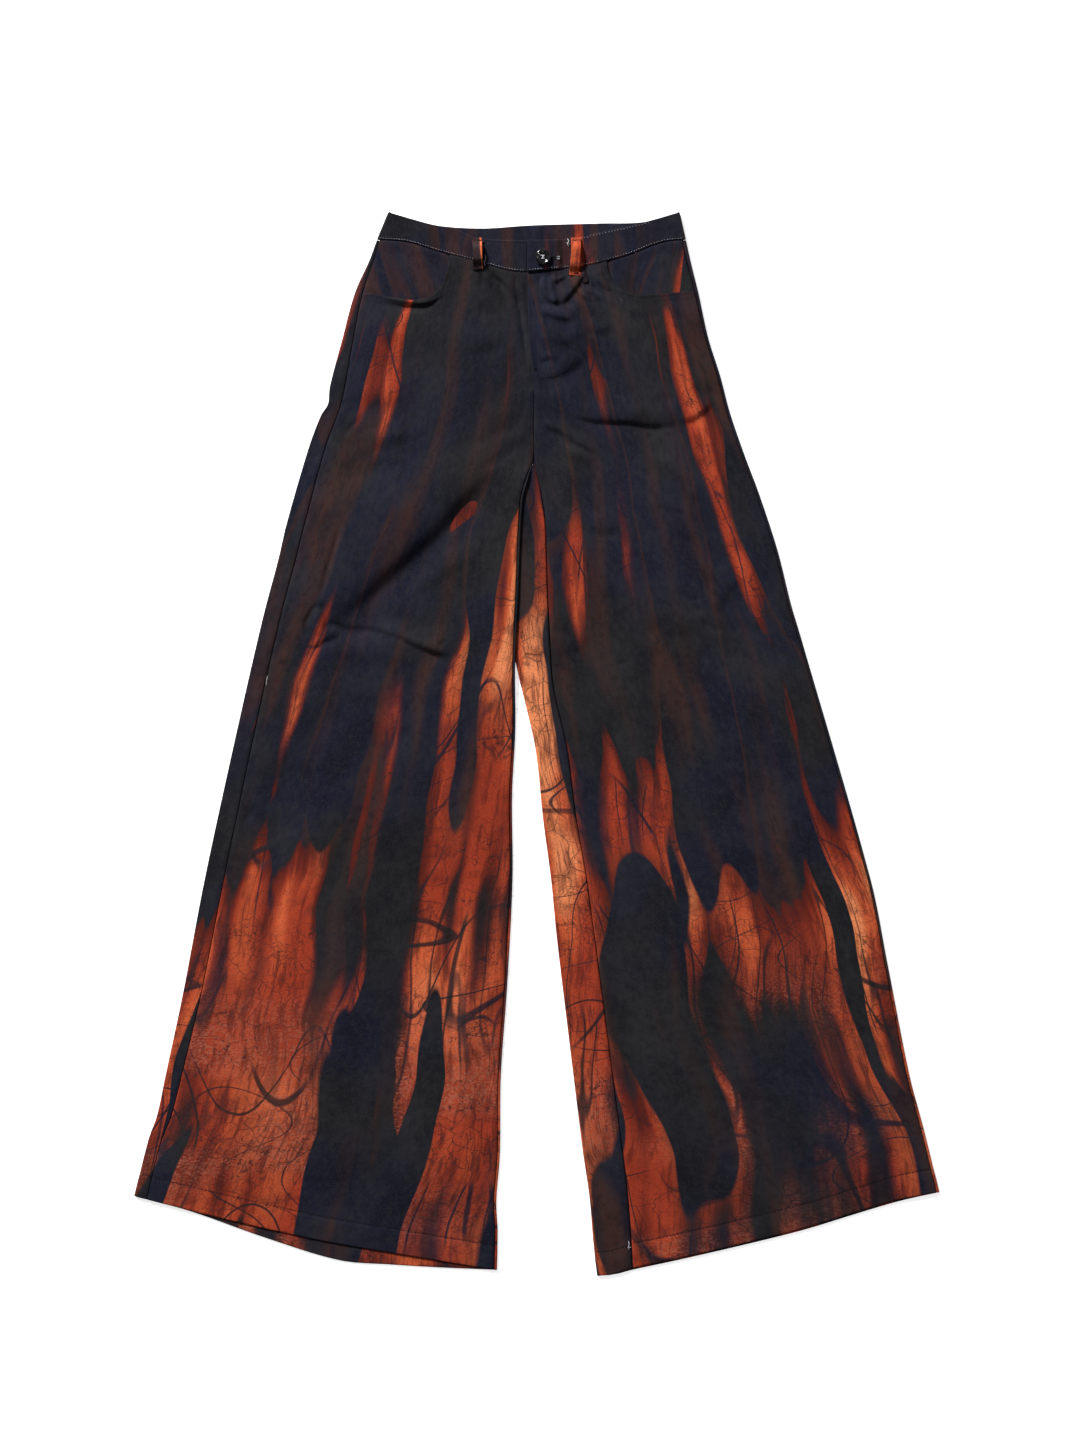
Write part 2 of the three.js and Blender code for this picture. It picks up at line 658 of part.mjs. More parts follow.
// One row of a back panel: outer strip, outer fold, lower layer, then the inner fold and
// inner strip. Above the crotch the last two lie flat beside the centre back seam.
function backRow(leg, row) {
  const { wall } = row;
  const outward = leg.side;
  const edgeX = leg.outerEdge(row.outer);
  const points = [];
  const upper = (x) => onLayer(upperHeight, leg, x, rowDown(leg, row, x, 'front'), wall, 1);
  const lower = (x) => onLayer(lowerHeight, leg, x, rowDown(leg, row, x, 'back'), wall, -1);
  const low = wall / 2;
  const high = wall * 1.5 + hollow(row.outer);

  const outerStart = edgeX - outward * (wall / 2 + (high - low) / 2);
  points.push(upper(leg.outerSeam(row.outer)));
  for (let i = 0; i <= FOLD_STEPS; i++) {
    points.push(foldPoint(edgeX, row.outer, low, high, wall, outward, 1 - i / FOLD_STEPS));
  }

  // 0 above the crotch, 0.5 on its row, where the corner turns half way up, 1 below.
  const below = row.inner - CROTCH;
  const turned = Math.abs(below) < 1 ? 0.5 : Number(below > 0);
  const innerX = turned === 1 ? leg.innerEdge(row.inner) : outward * (SEAM_GAP / 2);
  const lift = turned === 1 ? lapOverLeg(leg, innerX, row.inner) : 0;
  const innerLow = wall / 2 + lift;
  const innerHigh = wall * 1.5 + hollow(row.inner) + lift;
  const radius = (innerHigh - innerLow) / 2;
  const flatEnd = turned === 0 ? CENTRE_MARGIN : wall / 2 + radius;
  const innerStart = innerX + outward * flatEnd;
  const lapFlat = innerX + outward * LAP_FLAT;
  const lapEnd = innerX + outward * LAP_END;
  for (const u of columns(BACK_COLUMNS).slice(1, -1)) points.push(lower(lerp(outerStart, lapEnd, u)));
  points.push(lower(lapEnd), lower((lapEnd + lapFlat) / 2), lower(lapFlat));

  if (turned === 0) {
    for (const u of columns(FOLD_STEPS + 1)) points.push(lower(lerp(innerStart, innerX, u)));
    return points;
  }
  for (let i = 0; i <= FOLD_STEPS; i++) {
    const turn = (turned * i) / FOLD_STEPS;
    points.push(foldPoint(innerX, row.inner, innerLow, innerHigh, wall, -outward, turn));
  }
  if (turned === 1) {
    points.push(upper(leg.innerSeam(row.inner)));
  } else {
    const end = points.at(-1);
    points.push({ ...end, point: end.point.clone().add(new THREE.Vector3(0, 0, 0.1)) });
  }
  return points;
}

// The facing fills the corner beside the waistband that the pocket mouth leaves open, and
// runs on under the front.
function pocketFacing(leg) {
  const { innerTop, innerBottom } = FACING[leg.side];
  const seamLine = (x) => bandEdge.frontBottom(x) + BAND_GAP;
  const rows = [...topRows(), ...sharedRows(leg).slice(0, 2)];
  const side = rows.map((row) => {
    const x = leg.outerSeam(row.outer) - leg.side * SEAM_GAP;
    return { x, down: rowDown(leg, row, x, 'front') };
  });
  const grid = side.map((start, r) => columns(FACING_COLUMNS).map((u) => {
    const v = r / (side.length - 1);
    const x = lerp(start.x, lerp(innerTop, innerBottom.x, v), u);
    const end = lerp(seamLine(innerTop), innerBottom.down, v);
    const bend = seamLine(lerp(side[0].x, innerTop, u)) - lerp(side[0].down, seamLine(innerTop), u);
    const down = lerp(start.down, end, u) + (1 - v) * bend;
    return onLayer(upperHeight, leg, x, down, WALL, 1);
  }));
  return wallGeometry(grid);
}

// ---------------------------------------------------------------- waistband

const BAND_LOW = BAND_WALL / 2; // centre heights of the band's two layers
const BAND_HIGH = BAND_WALL * 1.5 + BAND_HOLLOW;
const BAND_TOP = BAND_HIGH + BAND_WALL / 2;
const HALF_WAIST = BAND.frontTop.at(-1).x;

// The band's draft place: across runs from -1 at the right corner to 1 at the left corner,
// and v from its top edge to its seam.
function bandPlace(layer, across, v) {
  const topX = across * HALF_WAIST;
  const bottomX = across * (across < 0 ? -BAND.frontBottom[0].x : BAND.frontBottom.at(-1).x);
  const top = bandEdge[`${layer}Top`](topX);
  const bottom = bandEdge[`${layer}Bottom`](bottomX);
  return { x: lerp(topX, bottomX, v), down: lerp(top, bottom, v) };
}

function waistband() {
  const fold = (BAND_HIGH - BAND_LOW) / 2 + BAND_WALL / 2;
  const flatShare = 1 - fold / HALF_WAIST;
  const upper = (across, lift) => (v) => {
    const { x, down } = bandPlace('front', across, v);
    return { point: new THREE.Vector3(x, -down, BAND_HIGH + lift), normal: new THREE.Vector3(0, 0, 1), wall: BAND_WALL };
  };
  const lower = (across) => (v) => {
    const { x, down } = bandPlace('back', across, v);
    return { point: new THREE.Vector3(x, -down, BAND_LOW), normal: new THREE.Vector3(0, 0, -1), wall: BAND_WALL };
  };
  const corner = (side, turn) => (v) => {
    const { x, down } = bandPlace('back', side, v);
    return foldPoint(x, down, BAND_LOW, BAND_HIGH, BAND_WALL, side, turn);
  };
  const places = [];
  const spread = (from, to, steps, make) => {
    for (let i = 0; i <= steps; i++) places.push(make(lerp(from, to, i / steps)));
  };
  const lapStart = (BAND.underlapEnd + 1) / HALF_WAIST;
  const lapClear = lapStart + BAND.overlapRise / HALF_WAIST;
  const overlapLift = BAND_WALL + SEAM_GAP;
  spread(BAND.underlapEnd / HALF_WAIST, -0.99 * flatShare, 12, (across) => upper(across, 0));
  spread(1, 0, FOLD_STEPS, (turn) => corner(-1, turn));
  spread(-0.99 * flatShare, 0.99 * flatShare, 20, lower);
  spread(0, 1, FOLD_STEPS, (turn) => corner(1, turn));
  spread(0.99 * flatShare, lapClear, 9, (across) => upper(across, 0));
  spread(lapStart, BAND.overlapEnd / HALF_WAIST, 2, (across) => upper(across, overlapLift));
  const heights = columns(2);
  const ring = wallGeometry(heights.map((v) => places.map((place) => place(v))));
  return cut(ring, BACK_LOOPS.map(({ across }) => loopRecess(across)));
}

// ---------------------------------------------------------------- belt loops

const LOOP_FOOT = BAND_TOP + SEAM_GAP; // underside of a front loop's upper foot

// A strip with a foot at each end and an arch between, seen from the side: y along, z up.
function loopProfile(length, lowerFootLift) {
  const { wall, foot, clear, ramp } = LOOP;
  const half = length / 2;
  const bottom = [
    [half, 0],
    [half - foot, 0],
    [half - foot - ramp, clear],
    [-half + foot + ramp, clear],
    [-half + foot, lowerFootLift],
    [-half, lowerFootLift],
  ];
  const top = bottom.map(([y, z], i) => {
    const shift = i === 1 || i === 2 ? -wall * 0.35 : i === 3 || i === 4 ? wall * 0.35 : 0;
    return [y - shift * (z > lowerFootLift ? 0.6 : 1), z + wall];
  });
  return new THREE.Shape([...bottom, ...top.reverse()].map(([y, z]) => new THREE.Vector2(y, z)));
}

// A shape of y and z pushed out along x, centred.
function acrossExtrusion(shape, width) {
  const geometry = new THREE.ExtrudeGeometry(shape, { depth: width, bevelEnabled: false, steps: 1 });
  geometry.translate(0, 0, -width / 2);
  geometry.applyMatrix4(new THREE.Matrix4().makeBasis(
    new THREE.Vector3(0, 1, 0),
    new THREE.Vector3(0, 0, 1),
    new THREE.Vector3(1, 0, 0),
  ));
  return geometry;
}

function frontLoop({ name, across, turn }) {
  const top = bandPlace('front', across, 0);
  const bottom = bandPlace('front', across, 1);
  const length = bottom.down - top.down + LOOP.pastSeam;
  const mesh = piece(name, acrossExtrusion(loopProfile(length, 0), LOOP.width), LOOP_COLOUR);
  mesh.position.set((top.x + bottom.x) / 2, -(top.down + length / 2), LOOP_FOOT);
  mesh.rotation.z = degToRad(turn);
  return mesh;
}

function backLoopBox(across, margin) {
  const top = bandPlace('back', across, 0);
  const bottom = bandPlace('back', across, 1);
  const length = bottom.down - top.down - 2;
  const height = LOOP.wall + margin;
  const box = new THREE.BoxGeometry(LOOP.width + 2 * margin, length + 2 * margin, height + margin);
  box.translate((top.x + bottom.x) / 2, -(top.down + bottom.down) / 2, (height - margin) / 2);
  return box;
}

function loopRecess(across) {
  return backLoopBox(across, SEAM_GAP);
}

function backLoop({ name, across }) {
  return piece(name, backLoopBox(across, 0), LOOP_COLOUR);
}

// ---------------------------------------------------------------- button

function button() {
  const { radius, thick, holes, holeRadius, holeOffset } = BUTTON;
  const profile = [
    [0, 0],
    [radius * 0.6, 0],
    [radius * 0.92, thick * 0.3],
    [radius, thick * 0.55],
    [radius * 0.97, thick * 0.85],
    [radius * 0.86, thick],
    [radius * 0.72, thick * 0.9],
    [radius * 0.62, thick * 0.66],
    [0, thick * 0.6],
  ];
  const body = new THREE.LatheGeometry(profile.map(([r, z]) => new THREE.Vector2(r, z)), 28);
  body.rotateX(Math.PI / 2);
  const drills = Array.from({ length: holes }, (_, i) => {
    const angle = degToRad(45 + (360 / holes) * i);
    const drill = new THREE.CylinderGeometry(holeRadius, holeRadius, thick * 3, 10);
    drill.rotateX(Math.PI / 2);
    drill.translate(holeOffset * Math.cos(angle), holeOffset * Math.sin(angle), thick / 2);
    return drill;
  });
  const mesh = piece('button', cut(body, drills), BUTTON_COLOUR, 0.15);
  const onOverlap = BAND_TOP + BAND_WALL + SEAM_GAP;
  mesh.position.set(BUTTON.x, -BUTTON.down, onOverlap + SEAM_GAP);
  return mesh;
}

// ---------------------------------------------------------------- assembly

function piece(name, geometry, color, roughness = 0.8) {
  const mesh = new THREE.Mesh(geometry, new THREE.MeshStandardMaterial({ color, roughness, metalness: 0 }));
  mesh.name = name;
  return mesh;
}

const garment = new THREE.Group();
garment.add(
  piece('back_right', backPanel(LEGS.right), CLOTH_COLOUR),
  piece('back_left', backPanel(LEGS.left), CLOTH_COLOUR),
  piece('front_right', frontPanel(LEGS.right), CLOTH_COLOUR),
  piece('front_left', frontPanel(LEGS.left), CLOTH_COLOUR),
  piece('pocket_facing_right', pocketFacing(LEGS.right), FACING_COLOUR),
  piece('pocket_facing_left', pocketFacing(LEGS.left), FACING_COLOUR),
  piece('waistband', waistband(), CLOTH_COLOUR),
  ...FRONT_LOOPS.map(frontLoop),
  ...BACK_LOOPS.map(backLoop),
  button(),
);

const footprint = new THREE.Box3().setFromObject(garment);
const middle = footprint.getCenter(new THREE.Vector3());
garment.position.set(-middle.x, -middle.y, -footprint.min.z);

const trousers = new THREE.Group();
trousers.add(garment);

export default trousers;
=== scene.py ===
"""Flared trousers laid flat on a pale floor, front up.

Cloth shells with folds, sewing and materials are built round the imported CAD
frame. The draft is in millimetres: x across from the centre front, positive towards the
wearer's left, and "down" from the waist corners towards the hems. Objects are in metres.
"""

import math

import bmesh
import bpy
import numpy as np
from mathutils import Matrix, Vector


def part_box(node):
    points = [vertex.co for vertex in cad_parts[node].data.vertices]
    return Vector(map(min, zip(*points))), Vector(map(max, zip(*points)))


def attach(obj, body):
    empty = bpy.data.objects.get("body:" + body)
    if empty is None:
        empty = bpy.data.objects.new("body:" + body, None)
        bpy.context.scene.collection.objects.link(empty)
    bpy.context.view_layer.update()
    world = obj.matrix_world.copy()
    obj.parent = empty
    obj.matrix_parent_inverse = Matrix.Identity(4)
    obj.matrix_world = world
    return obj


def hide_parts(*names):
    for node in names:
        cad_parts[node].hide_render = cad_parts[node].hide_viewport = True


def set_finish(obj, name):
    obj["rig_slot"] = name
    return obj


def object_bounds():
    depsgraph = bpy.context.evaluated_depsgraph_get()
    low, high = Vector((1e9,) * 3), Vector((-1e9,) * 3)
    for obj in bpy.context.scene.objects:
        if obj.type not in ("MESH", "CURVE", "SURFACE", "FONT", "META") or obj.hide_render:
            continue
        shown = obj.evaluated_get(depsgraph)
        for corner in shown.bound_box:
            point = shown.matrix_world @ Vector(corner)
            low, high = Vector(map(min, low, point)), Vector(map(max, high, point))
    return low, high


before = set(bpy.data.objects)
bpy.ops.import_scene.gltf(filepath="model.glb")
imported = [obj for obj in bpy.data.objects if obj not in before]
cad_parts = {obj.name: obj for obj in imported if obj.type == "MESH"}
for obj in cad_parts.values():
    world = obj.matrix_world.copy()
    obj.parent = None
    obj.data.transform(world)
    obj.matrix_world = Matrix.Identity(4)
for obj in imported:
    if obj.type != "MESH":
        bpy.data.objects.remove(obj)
cad_low, cad_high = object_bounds()

MM = 0.001
loop_low, loop_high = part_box("belt_loop_back_centre")
CENTRE_X = (loop_low.x + loop_high.x) / 2 / MM
TOP_Y = cad_high.y / MM

# ---------------------------------------------------------------- driving dimensions

CLOTH = 0.85  # one layer
HEM = 1.5  # the turned-up hem
HEM_DEPTH = 25
WALL = 1.0  # the layers' spacing in the CAD model
SEAM_GAP = 0.3
SEAM_SLOT = 0.8  # between panels on the upper side, where a seam shows as a dark line
BAND_GAP = 0.12
LAP_LIFT = WALL + SEAM_GAP

LEG_HOLLOW = 0.5
HIP_HOLLOW = 1.7
HIP_END = (130, 220)
SLACK_RISE = 2.6

CROTCH = 256
LAP_FLAT = 14
LAP_END = 46
FLY_RIGHT = 24
FLY_BOTTOM = 188
POCKET_END = (83, 120)
WAIST_LINE = (29, 45)
CROTCH_LINE = (242, 256)
KNEE_LINE = (478, 494)


def table(columns, *rows):
    """A short table, as one array for each named column."""
    return {name: np.array([row[i] for row in rows], float) for i, name in enumerate(columns.split())}


BAND = {
    "front_top": table(
        "x down",
        (-150.4, 0), (-107, 12.4), (-81, 17.5), (-58, 26.6), (-4, 28.8), (42, 26.8), (68, 20.6),
        (114, 10.3), (150.4, 0),
    ),
    "front_bottom": table(
        "x down",
        (-162.2, 28.5), (-130, 31), (-97, 41), (-60, 50.5), (-20, 61.5), (15, 60), (55, 55),
        (95, 45), (133, 31), (156.8, 28.5),
    ),
    "back_top": table(
        "x down",
        (-150.4, 0), (-107, 12.4), (-56, 16.5), (-4, 13.4), (68, 11.3), (114, 9.8), (150.4, 0),
    ),
    "back_bottom": table(
        "x down",
        (-162.2, 28.5), (-107, 43), (-56, 47.5), (0, 45), (68, 42.5), (114, 40), (156.8, 28.5),
    ),
}
HALF_WAIST = 150.4
UNDERLAP_END = 22
OVERLAP_END = -7

# "edge" is the fold that makes the outline, and "strip" the width of back panel on the
# upper side of it, up to the seam.
RIGHT = {
    "side": -1,
    "outer": table(
        "down edge strip",
        (29, -162.2, 2.8), (49, -169.5, 4), (83, -184.6, 7.4), (134, -198.5, 11), (180, -210.6, 15),
        (198, -212.6, 12.8), (209, -219.6, 16), (243, -232.4, 16.6), (322, -255.4, 18.2),
        (358, -263.7, 17.5), (416, -279.1, 17.5), (544, -308.5, 18.1), (690, -340.1, 19.1),
        (803, -361.5, 17.9), (893, -380.6, 15.4), (931, -388.7, 13.5), (956, -397.6, 12.4),
        (1014, -412, 12.4),
    ),
    "inner": table(
        "down edge strip",
        (256, -0.15, 0), (273, -5.2, 2.3), (299, -11.7, 2.3), (396, -16.2, 2.3), (467, -19.2, 2.3),
        (534, -19.1, 2.3), (600, -22.4, 2.3), (688, -22, 2.3), (796, -27.4, 2.3), (890, -34, 2.3),
        (970, -35, 2.3), (1020, -38.7, 2.3), (1050, -37.3, 2.3), (1090, -38.4, 2.3),
    ),
    "front_hem": table(
        "x down",
        (-412, 1014), (-353, 1029), (-278, 1047), (-210, 1061.5), (-148, 1072), (-97, 1080.5),
        (-38.4, 1090),
    ),
    "back_hem": table(
        "x down",
        (-412, 1014), (-353, 1030), (-278, 1056.5), (-201, 1080), (-148, 1084.5), (-97, 1087.5),
        (-38.4, 1090),
    ),
    "centre": table("down x", (56, 22), (150, 22), (187, -0.15), (256, -0.15)),
    "mouth": [(-86.5, 43.5), (-90, 62), (-97, 79), (-110, 88.5), (-133, 91.5), (-154, 87), (-177, 83)],
    "laps": True,
}
LEFT = {
    "side": 1,
    "outer": table(
        "down edge strip",
        (29, 156.8, 4), (53, 162.1, 3.5), (83, 169.5, 3.1), (130, 179.8, 2.3), (169, 192.1, 2.3),
        (207, 202.2, 2.3), (250, 217, 2.3), (290, 232, 2.3), (348, 251, 2.3), (404, 265, 2.3),
        (434, 274, 2.3), (688, 347.1, 2.3), (775, 364.6, 2.3), (890, 387.3, 2.3),
        (946, 402.2, 2.3), (1010, 417.8, 2.3),
    ),
    "inner": table(
        "down edge strip",
        (256, 0.15, 0), (264, -3.4, 4.4), (273, -6.6, 9.6), (290, -10.8, 17.8), (320, -17.4, 28.4), (358, -22.7, 35.3),
        (400, -25, 39), (440, -23.5, 39.5), (477, -16.2, 34.4), (500, -10.6, 32), (554, 1.5, 32.1),
        (626, 9.3, 33.7), (688, 17.5, 35.9), (746, 23.2, 38.1), (842, 34.7, 39.1),
        (968, 50.2, 39.8), (1015, 57.1, 38.7), (1063, 61.2, 38.4), (1096, 65.3, 36.2),
    ),
    "front_hem": table(
        "x down",
        (65.3, 1096), (82, 1094), (101, 1088), (141, 1079.5), (213, 1063), (279, 1046.5),
        (331, 1030.5), (377, 1017), (417.8, 1010),
    ),
    "back_hem": table(
        "x down",
        (65.3, 1096), (82, 1095), (101, 1090), (141, 1081.5), (213, 1065), (279, 1048.5),
        (331, 1032.5), (377, 1019), (417.8, 1010),
    ),
    "centre": table("down x", (56, -7), (132, -5), (168, 0.15), (256, 0.15)),
    "mouth": [(74.5, 50.5), (79, 67), (89, 80), (109, 86), (137, 84), (166, 81)],
    "laps": False,
}

# The large folds, as in the CAD model: straight axes that bow aside in the middle.
FOLDS = table(
    "x down to_x to_down bow width height",
    (-95, 250, -215, 370, 0, 34, 4.5),
    (-42, 272, -192, 412, -6, 21, -2.6),
    (-45, 330, -150, 425, 0, 34, 2.4),
    (-205, 424, -100, 436, -6, 13, -2.5),
    (-232, 456, -78, 466, -14, 16, 3.4),
    (30, 201, 180, 202, 7, 13, 2.2),
    (34, 219, 176, 218, 7, 12, -1.3),
    (24, 236, 66, 252, 3, 9, 2.5),
    (100, 262, 205, 305, 10, 26, 3.5),
    (150, 440, 255, 470, 0, 24, -2.0),
)

# ---------------------------------------------------------------- curves


def smoothstep(x, low, high):
    t = np.clip((np.asarray(x, float) - low) / (high - low), 0, 1)
    return t * t * (3 - 2 * t)


def lerp(a, b, t):
    return a + (b - a) * t


def curve(rows, place, value):
    """A smooth curve through a table: the column "value" as a function of "place"."""
    at, to = rows[place], rows[value]
    slope = np.empty_like(to)
    slope[1:-1] = (to[2:] - to[:-2]) / (at[2:] - at[:-2])
    slope[0] = (to[1] - to[0]) / (at[1] - at[0])
    slope[-1] = (to[-1] - to[-2]) / (at[-1] - at[-2])

    def read(x):
        x = np.clip(x, at[0], at[-1])
        i = np.clip(np.searchsorted(at, x, side="right") - 1, 0, len(at) - 2)
        length = at[i + 1] - at[i]
        t = (x - at[i]) / length
        rise = to[i + 1] - to[i]
        bend = t * (1 - t) * ((slope[i] * length - rise) * (1 - t) - (slope[i + 1] * length - rise) * t)
        return to[i] + rise * t + bend

    return read


def spline(points, count):
    """A smooth line through points: count places on it, and its direction is kept."""
    p = np.array(points, float)
    t = np.linspace(0, len(p) - 1, count)
    i = np.clip(t.astype(int), 0, len(p) - 2)
    w = (t - i)[:, None]
    p0, p1 = p[np.maximum(i - 1, 0)], p[i]
    p2, p3 = p[i + 1], p[np.minimum(i + 2, len(p) - 1)]
    v0, v1 = (p2 - p0) / 2, (p3 - p1) / 2
    return (2 * p1 - 2 * p2 + v0 + v1) * w**3 + (-3 * p1 + 3 * p2 - 2 * v0 - v1) * w**2 + v0 * w + p1


def along_path(path, x, down):
    """For each place: its distance from the path, the side that it is on, and how far
    along the path it is, from 0 to 1."""
    best = np.full(np.shape(x), 1e9)
    side = np.zeros(np.shape(x))
    share = np.zeros(np.shape(x))
    lengths = np.hypot(*np.diff(path, axis=0).T)
    walked = np.concatenate([[0], np.cumsum(lengths)])
    for i, length in enumerate(lengths):
        (ax, ay), (bx, by) = path[i], path[i + 1]
        dx, dy = (bx - ax) / length, (by - ay) / length
        t = np.clip((x - ax) * dx + (down - ay) * dy, 0, length)
        ex, ey = x - ax - t * dx, down - ay - t * dy
        d = np.hypot(ex, ey)
        near = d < best
        best = np.where(near, d, best)
        side = np.where(near, np.sign(dx * (down - ay) - dy * (x - ax)), side)
        share = np.where(near, (walked[i] + t) / walked[-1], share)
    return best, side, share


def ripple(x, down, size_x, size_down, seed):
    """Soft random relief from -1 to 1, the same on each run."""
    grid = np.random.RandomState(seed).uniform(-1, 1, (97, 97))
    u, v = np.asarray(x) / size_x + 41.3, np.asarray(down) / size_down + 7.7
    i, j = np.floor(u).astype(int), np.floor(v).astype(int)
    a, b = smoothstep(u - i, 0, 1), smoothstep(v - j, 0, 1)
    i, j = i % 96, j % 96
    return lerp(lerp(grid[i, j], grid[i + 1, j], a), lerp(grid[i, j + 1], grid[i + 1, j + 1], a), b)


band_edge = {name: curve(rows, "x", "down") for name, rows in BAND.items()}


def seam_line(x):
    return band_edge["front_bottom"](x) + BAND_GAP


class Leg:
    def __init__(self, draft):
        self.side = draft["side"]
        self.laps = draft["laps"]
        self.outer_edge = curve(draft["outer"], "down", "edge")
        self.inner_edge = curve(draft["inner"], "down", "edge")
        outer_strip = curve(draft["outer"], "down", "strip")
        inner_strip = curve(draft["inner"], "down", "strip")
        self.outer_seam = lambda down: self.outer_edge(down) - self.side * outer_strip(down)
        self.inner_seam = lambda down: self.inner_edge(down) + self.side * inner_strip(down)
        centre = draft["centre"]
        self.centre_edge = lambda down: np.interp(down, centre["down"], centre["x"])
        self.hem = {
            "front": curve(draft["front_hem"], "x", "down"),
            "back": curve(draft["back_hem"], "x", "down"),
        }
        self.outer_hem = draft["outer"]["down"][-1]
        self.inner_hem = draft["inner"]["down"][-1]
        self.mouth = spline(draft["mouth"], 61)

        # the facing's hidden inner edge and bottom edge, under the front
        mouth_top = draft["mouth"][0][0]
        self.facing_top = mouth_top - self.side * 25
        self.facing_corner = (mouth_top - self.side * 21, 116)
        step = 1 / 9
        self.facing_side_row = (
            lerp(POCKET_END[0], CROTCH_LINE[0], step),
            lerp(POCKET_END[1], CROTCH_LINE[1], step),
        )

    def facing_bottom(self, x):
        side_down = self.facing_side_row[0]
        side_x = self.outer_seam(side_down)
        corner_x, corner_down = self.facing_corner
        return lerp(side_down, corner_down, (x - side_x) / (corner_x - side_x))

    def inner_x(self, down):
        """The front panel's edge towards the other leg."""
        gap = self.side * SEAM_SLOT
        below = self.inner_seam(np.maximum(down, CROTCH)) + gap
        return np.where(down > CROTCH, below, self.centre_edge(down) + gap * smoothstep(down, 246, CROTCH))

    def outer_x(self, down):
        return self.outer_seam(down) - self.side * SEAM_SLOT


legs = {"right": Leg(RIGHT), "left": Leg(LEFT)}

# ---------------------------------------------------------------- heights


def hollow(down):
    return lerp(HIP_HOLLOW, LEG_HOLLOW, smoothstep(down, *HIP_END))


def lap_over_leg(leg, x, down):
    """The right leg's inner edge is raised where it lies over the left leg."""
    if not leg.laps:
        return np.zeros(np.broadcast(x, down).shape)
    height = 2 * WALL + LEG_HOLLOW + SEAM_GAP + 0.1
    along = smoothstep(down, CROTCH - 2, 276) * (1 - smoothstep(down, 478, 530))
    from_edge = leg.inner_edge(down) - x
    return height * along * (1 - smoothstep(from_edge, LAP_FLAT, LAP_END)) * (np.asarray(down) >= CROTCH)


def large_folds(x, down):
    total = np.zeros(np.broadcast(x, down).shape)
    for i in range(len(FOLDS["x"])):
        fold = {name: column[i] for name, column in FOLDS.items()}
        dx, dy = fold["to_x"] - fold["x"], fold["to_down"] - fold["down"]
        length = math.hypot(dx, dy)
        along = ((x - fold["x"]) * dx + (down - fold["down"]) * dy) / length**2
        aside = ((down - fold["down"]) * dx - (x - fold["x"]) * dy) / length
        from_middle = aside - fold["bow"] * 4 * along * (1 - along)
        inside = np.clip(along, 0, 1)
        total += fold["height"] * np.sin(np.pi * inside) * np.exp(-((from_middle / fold["width"]) ** 2))
    return total


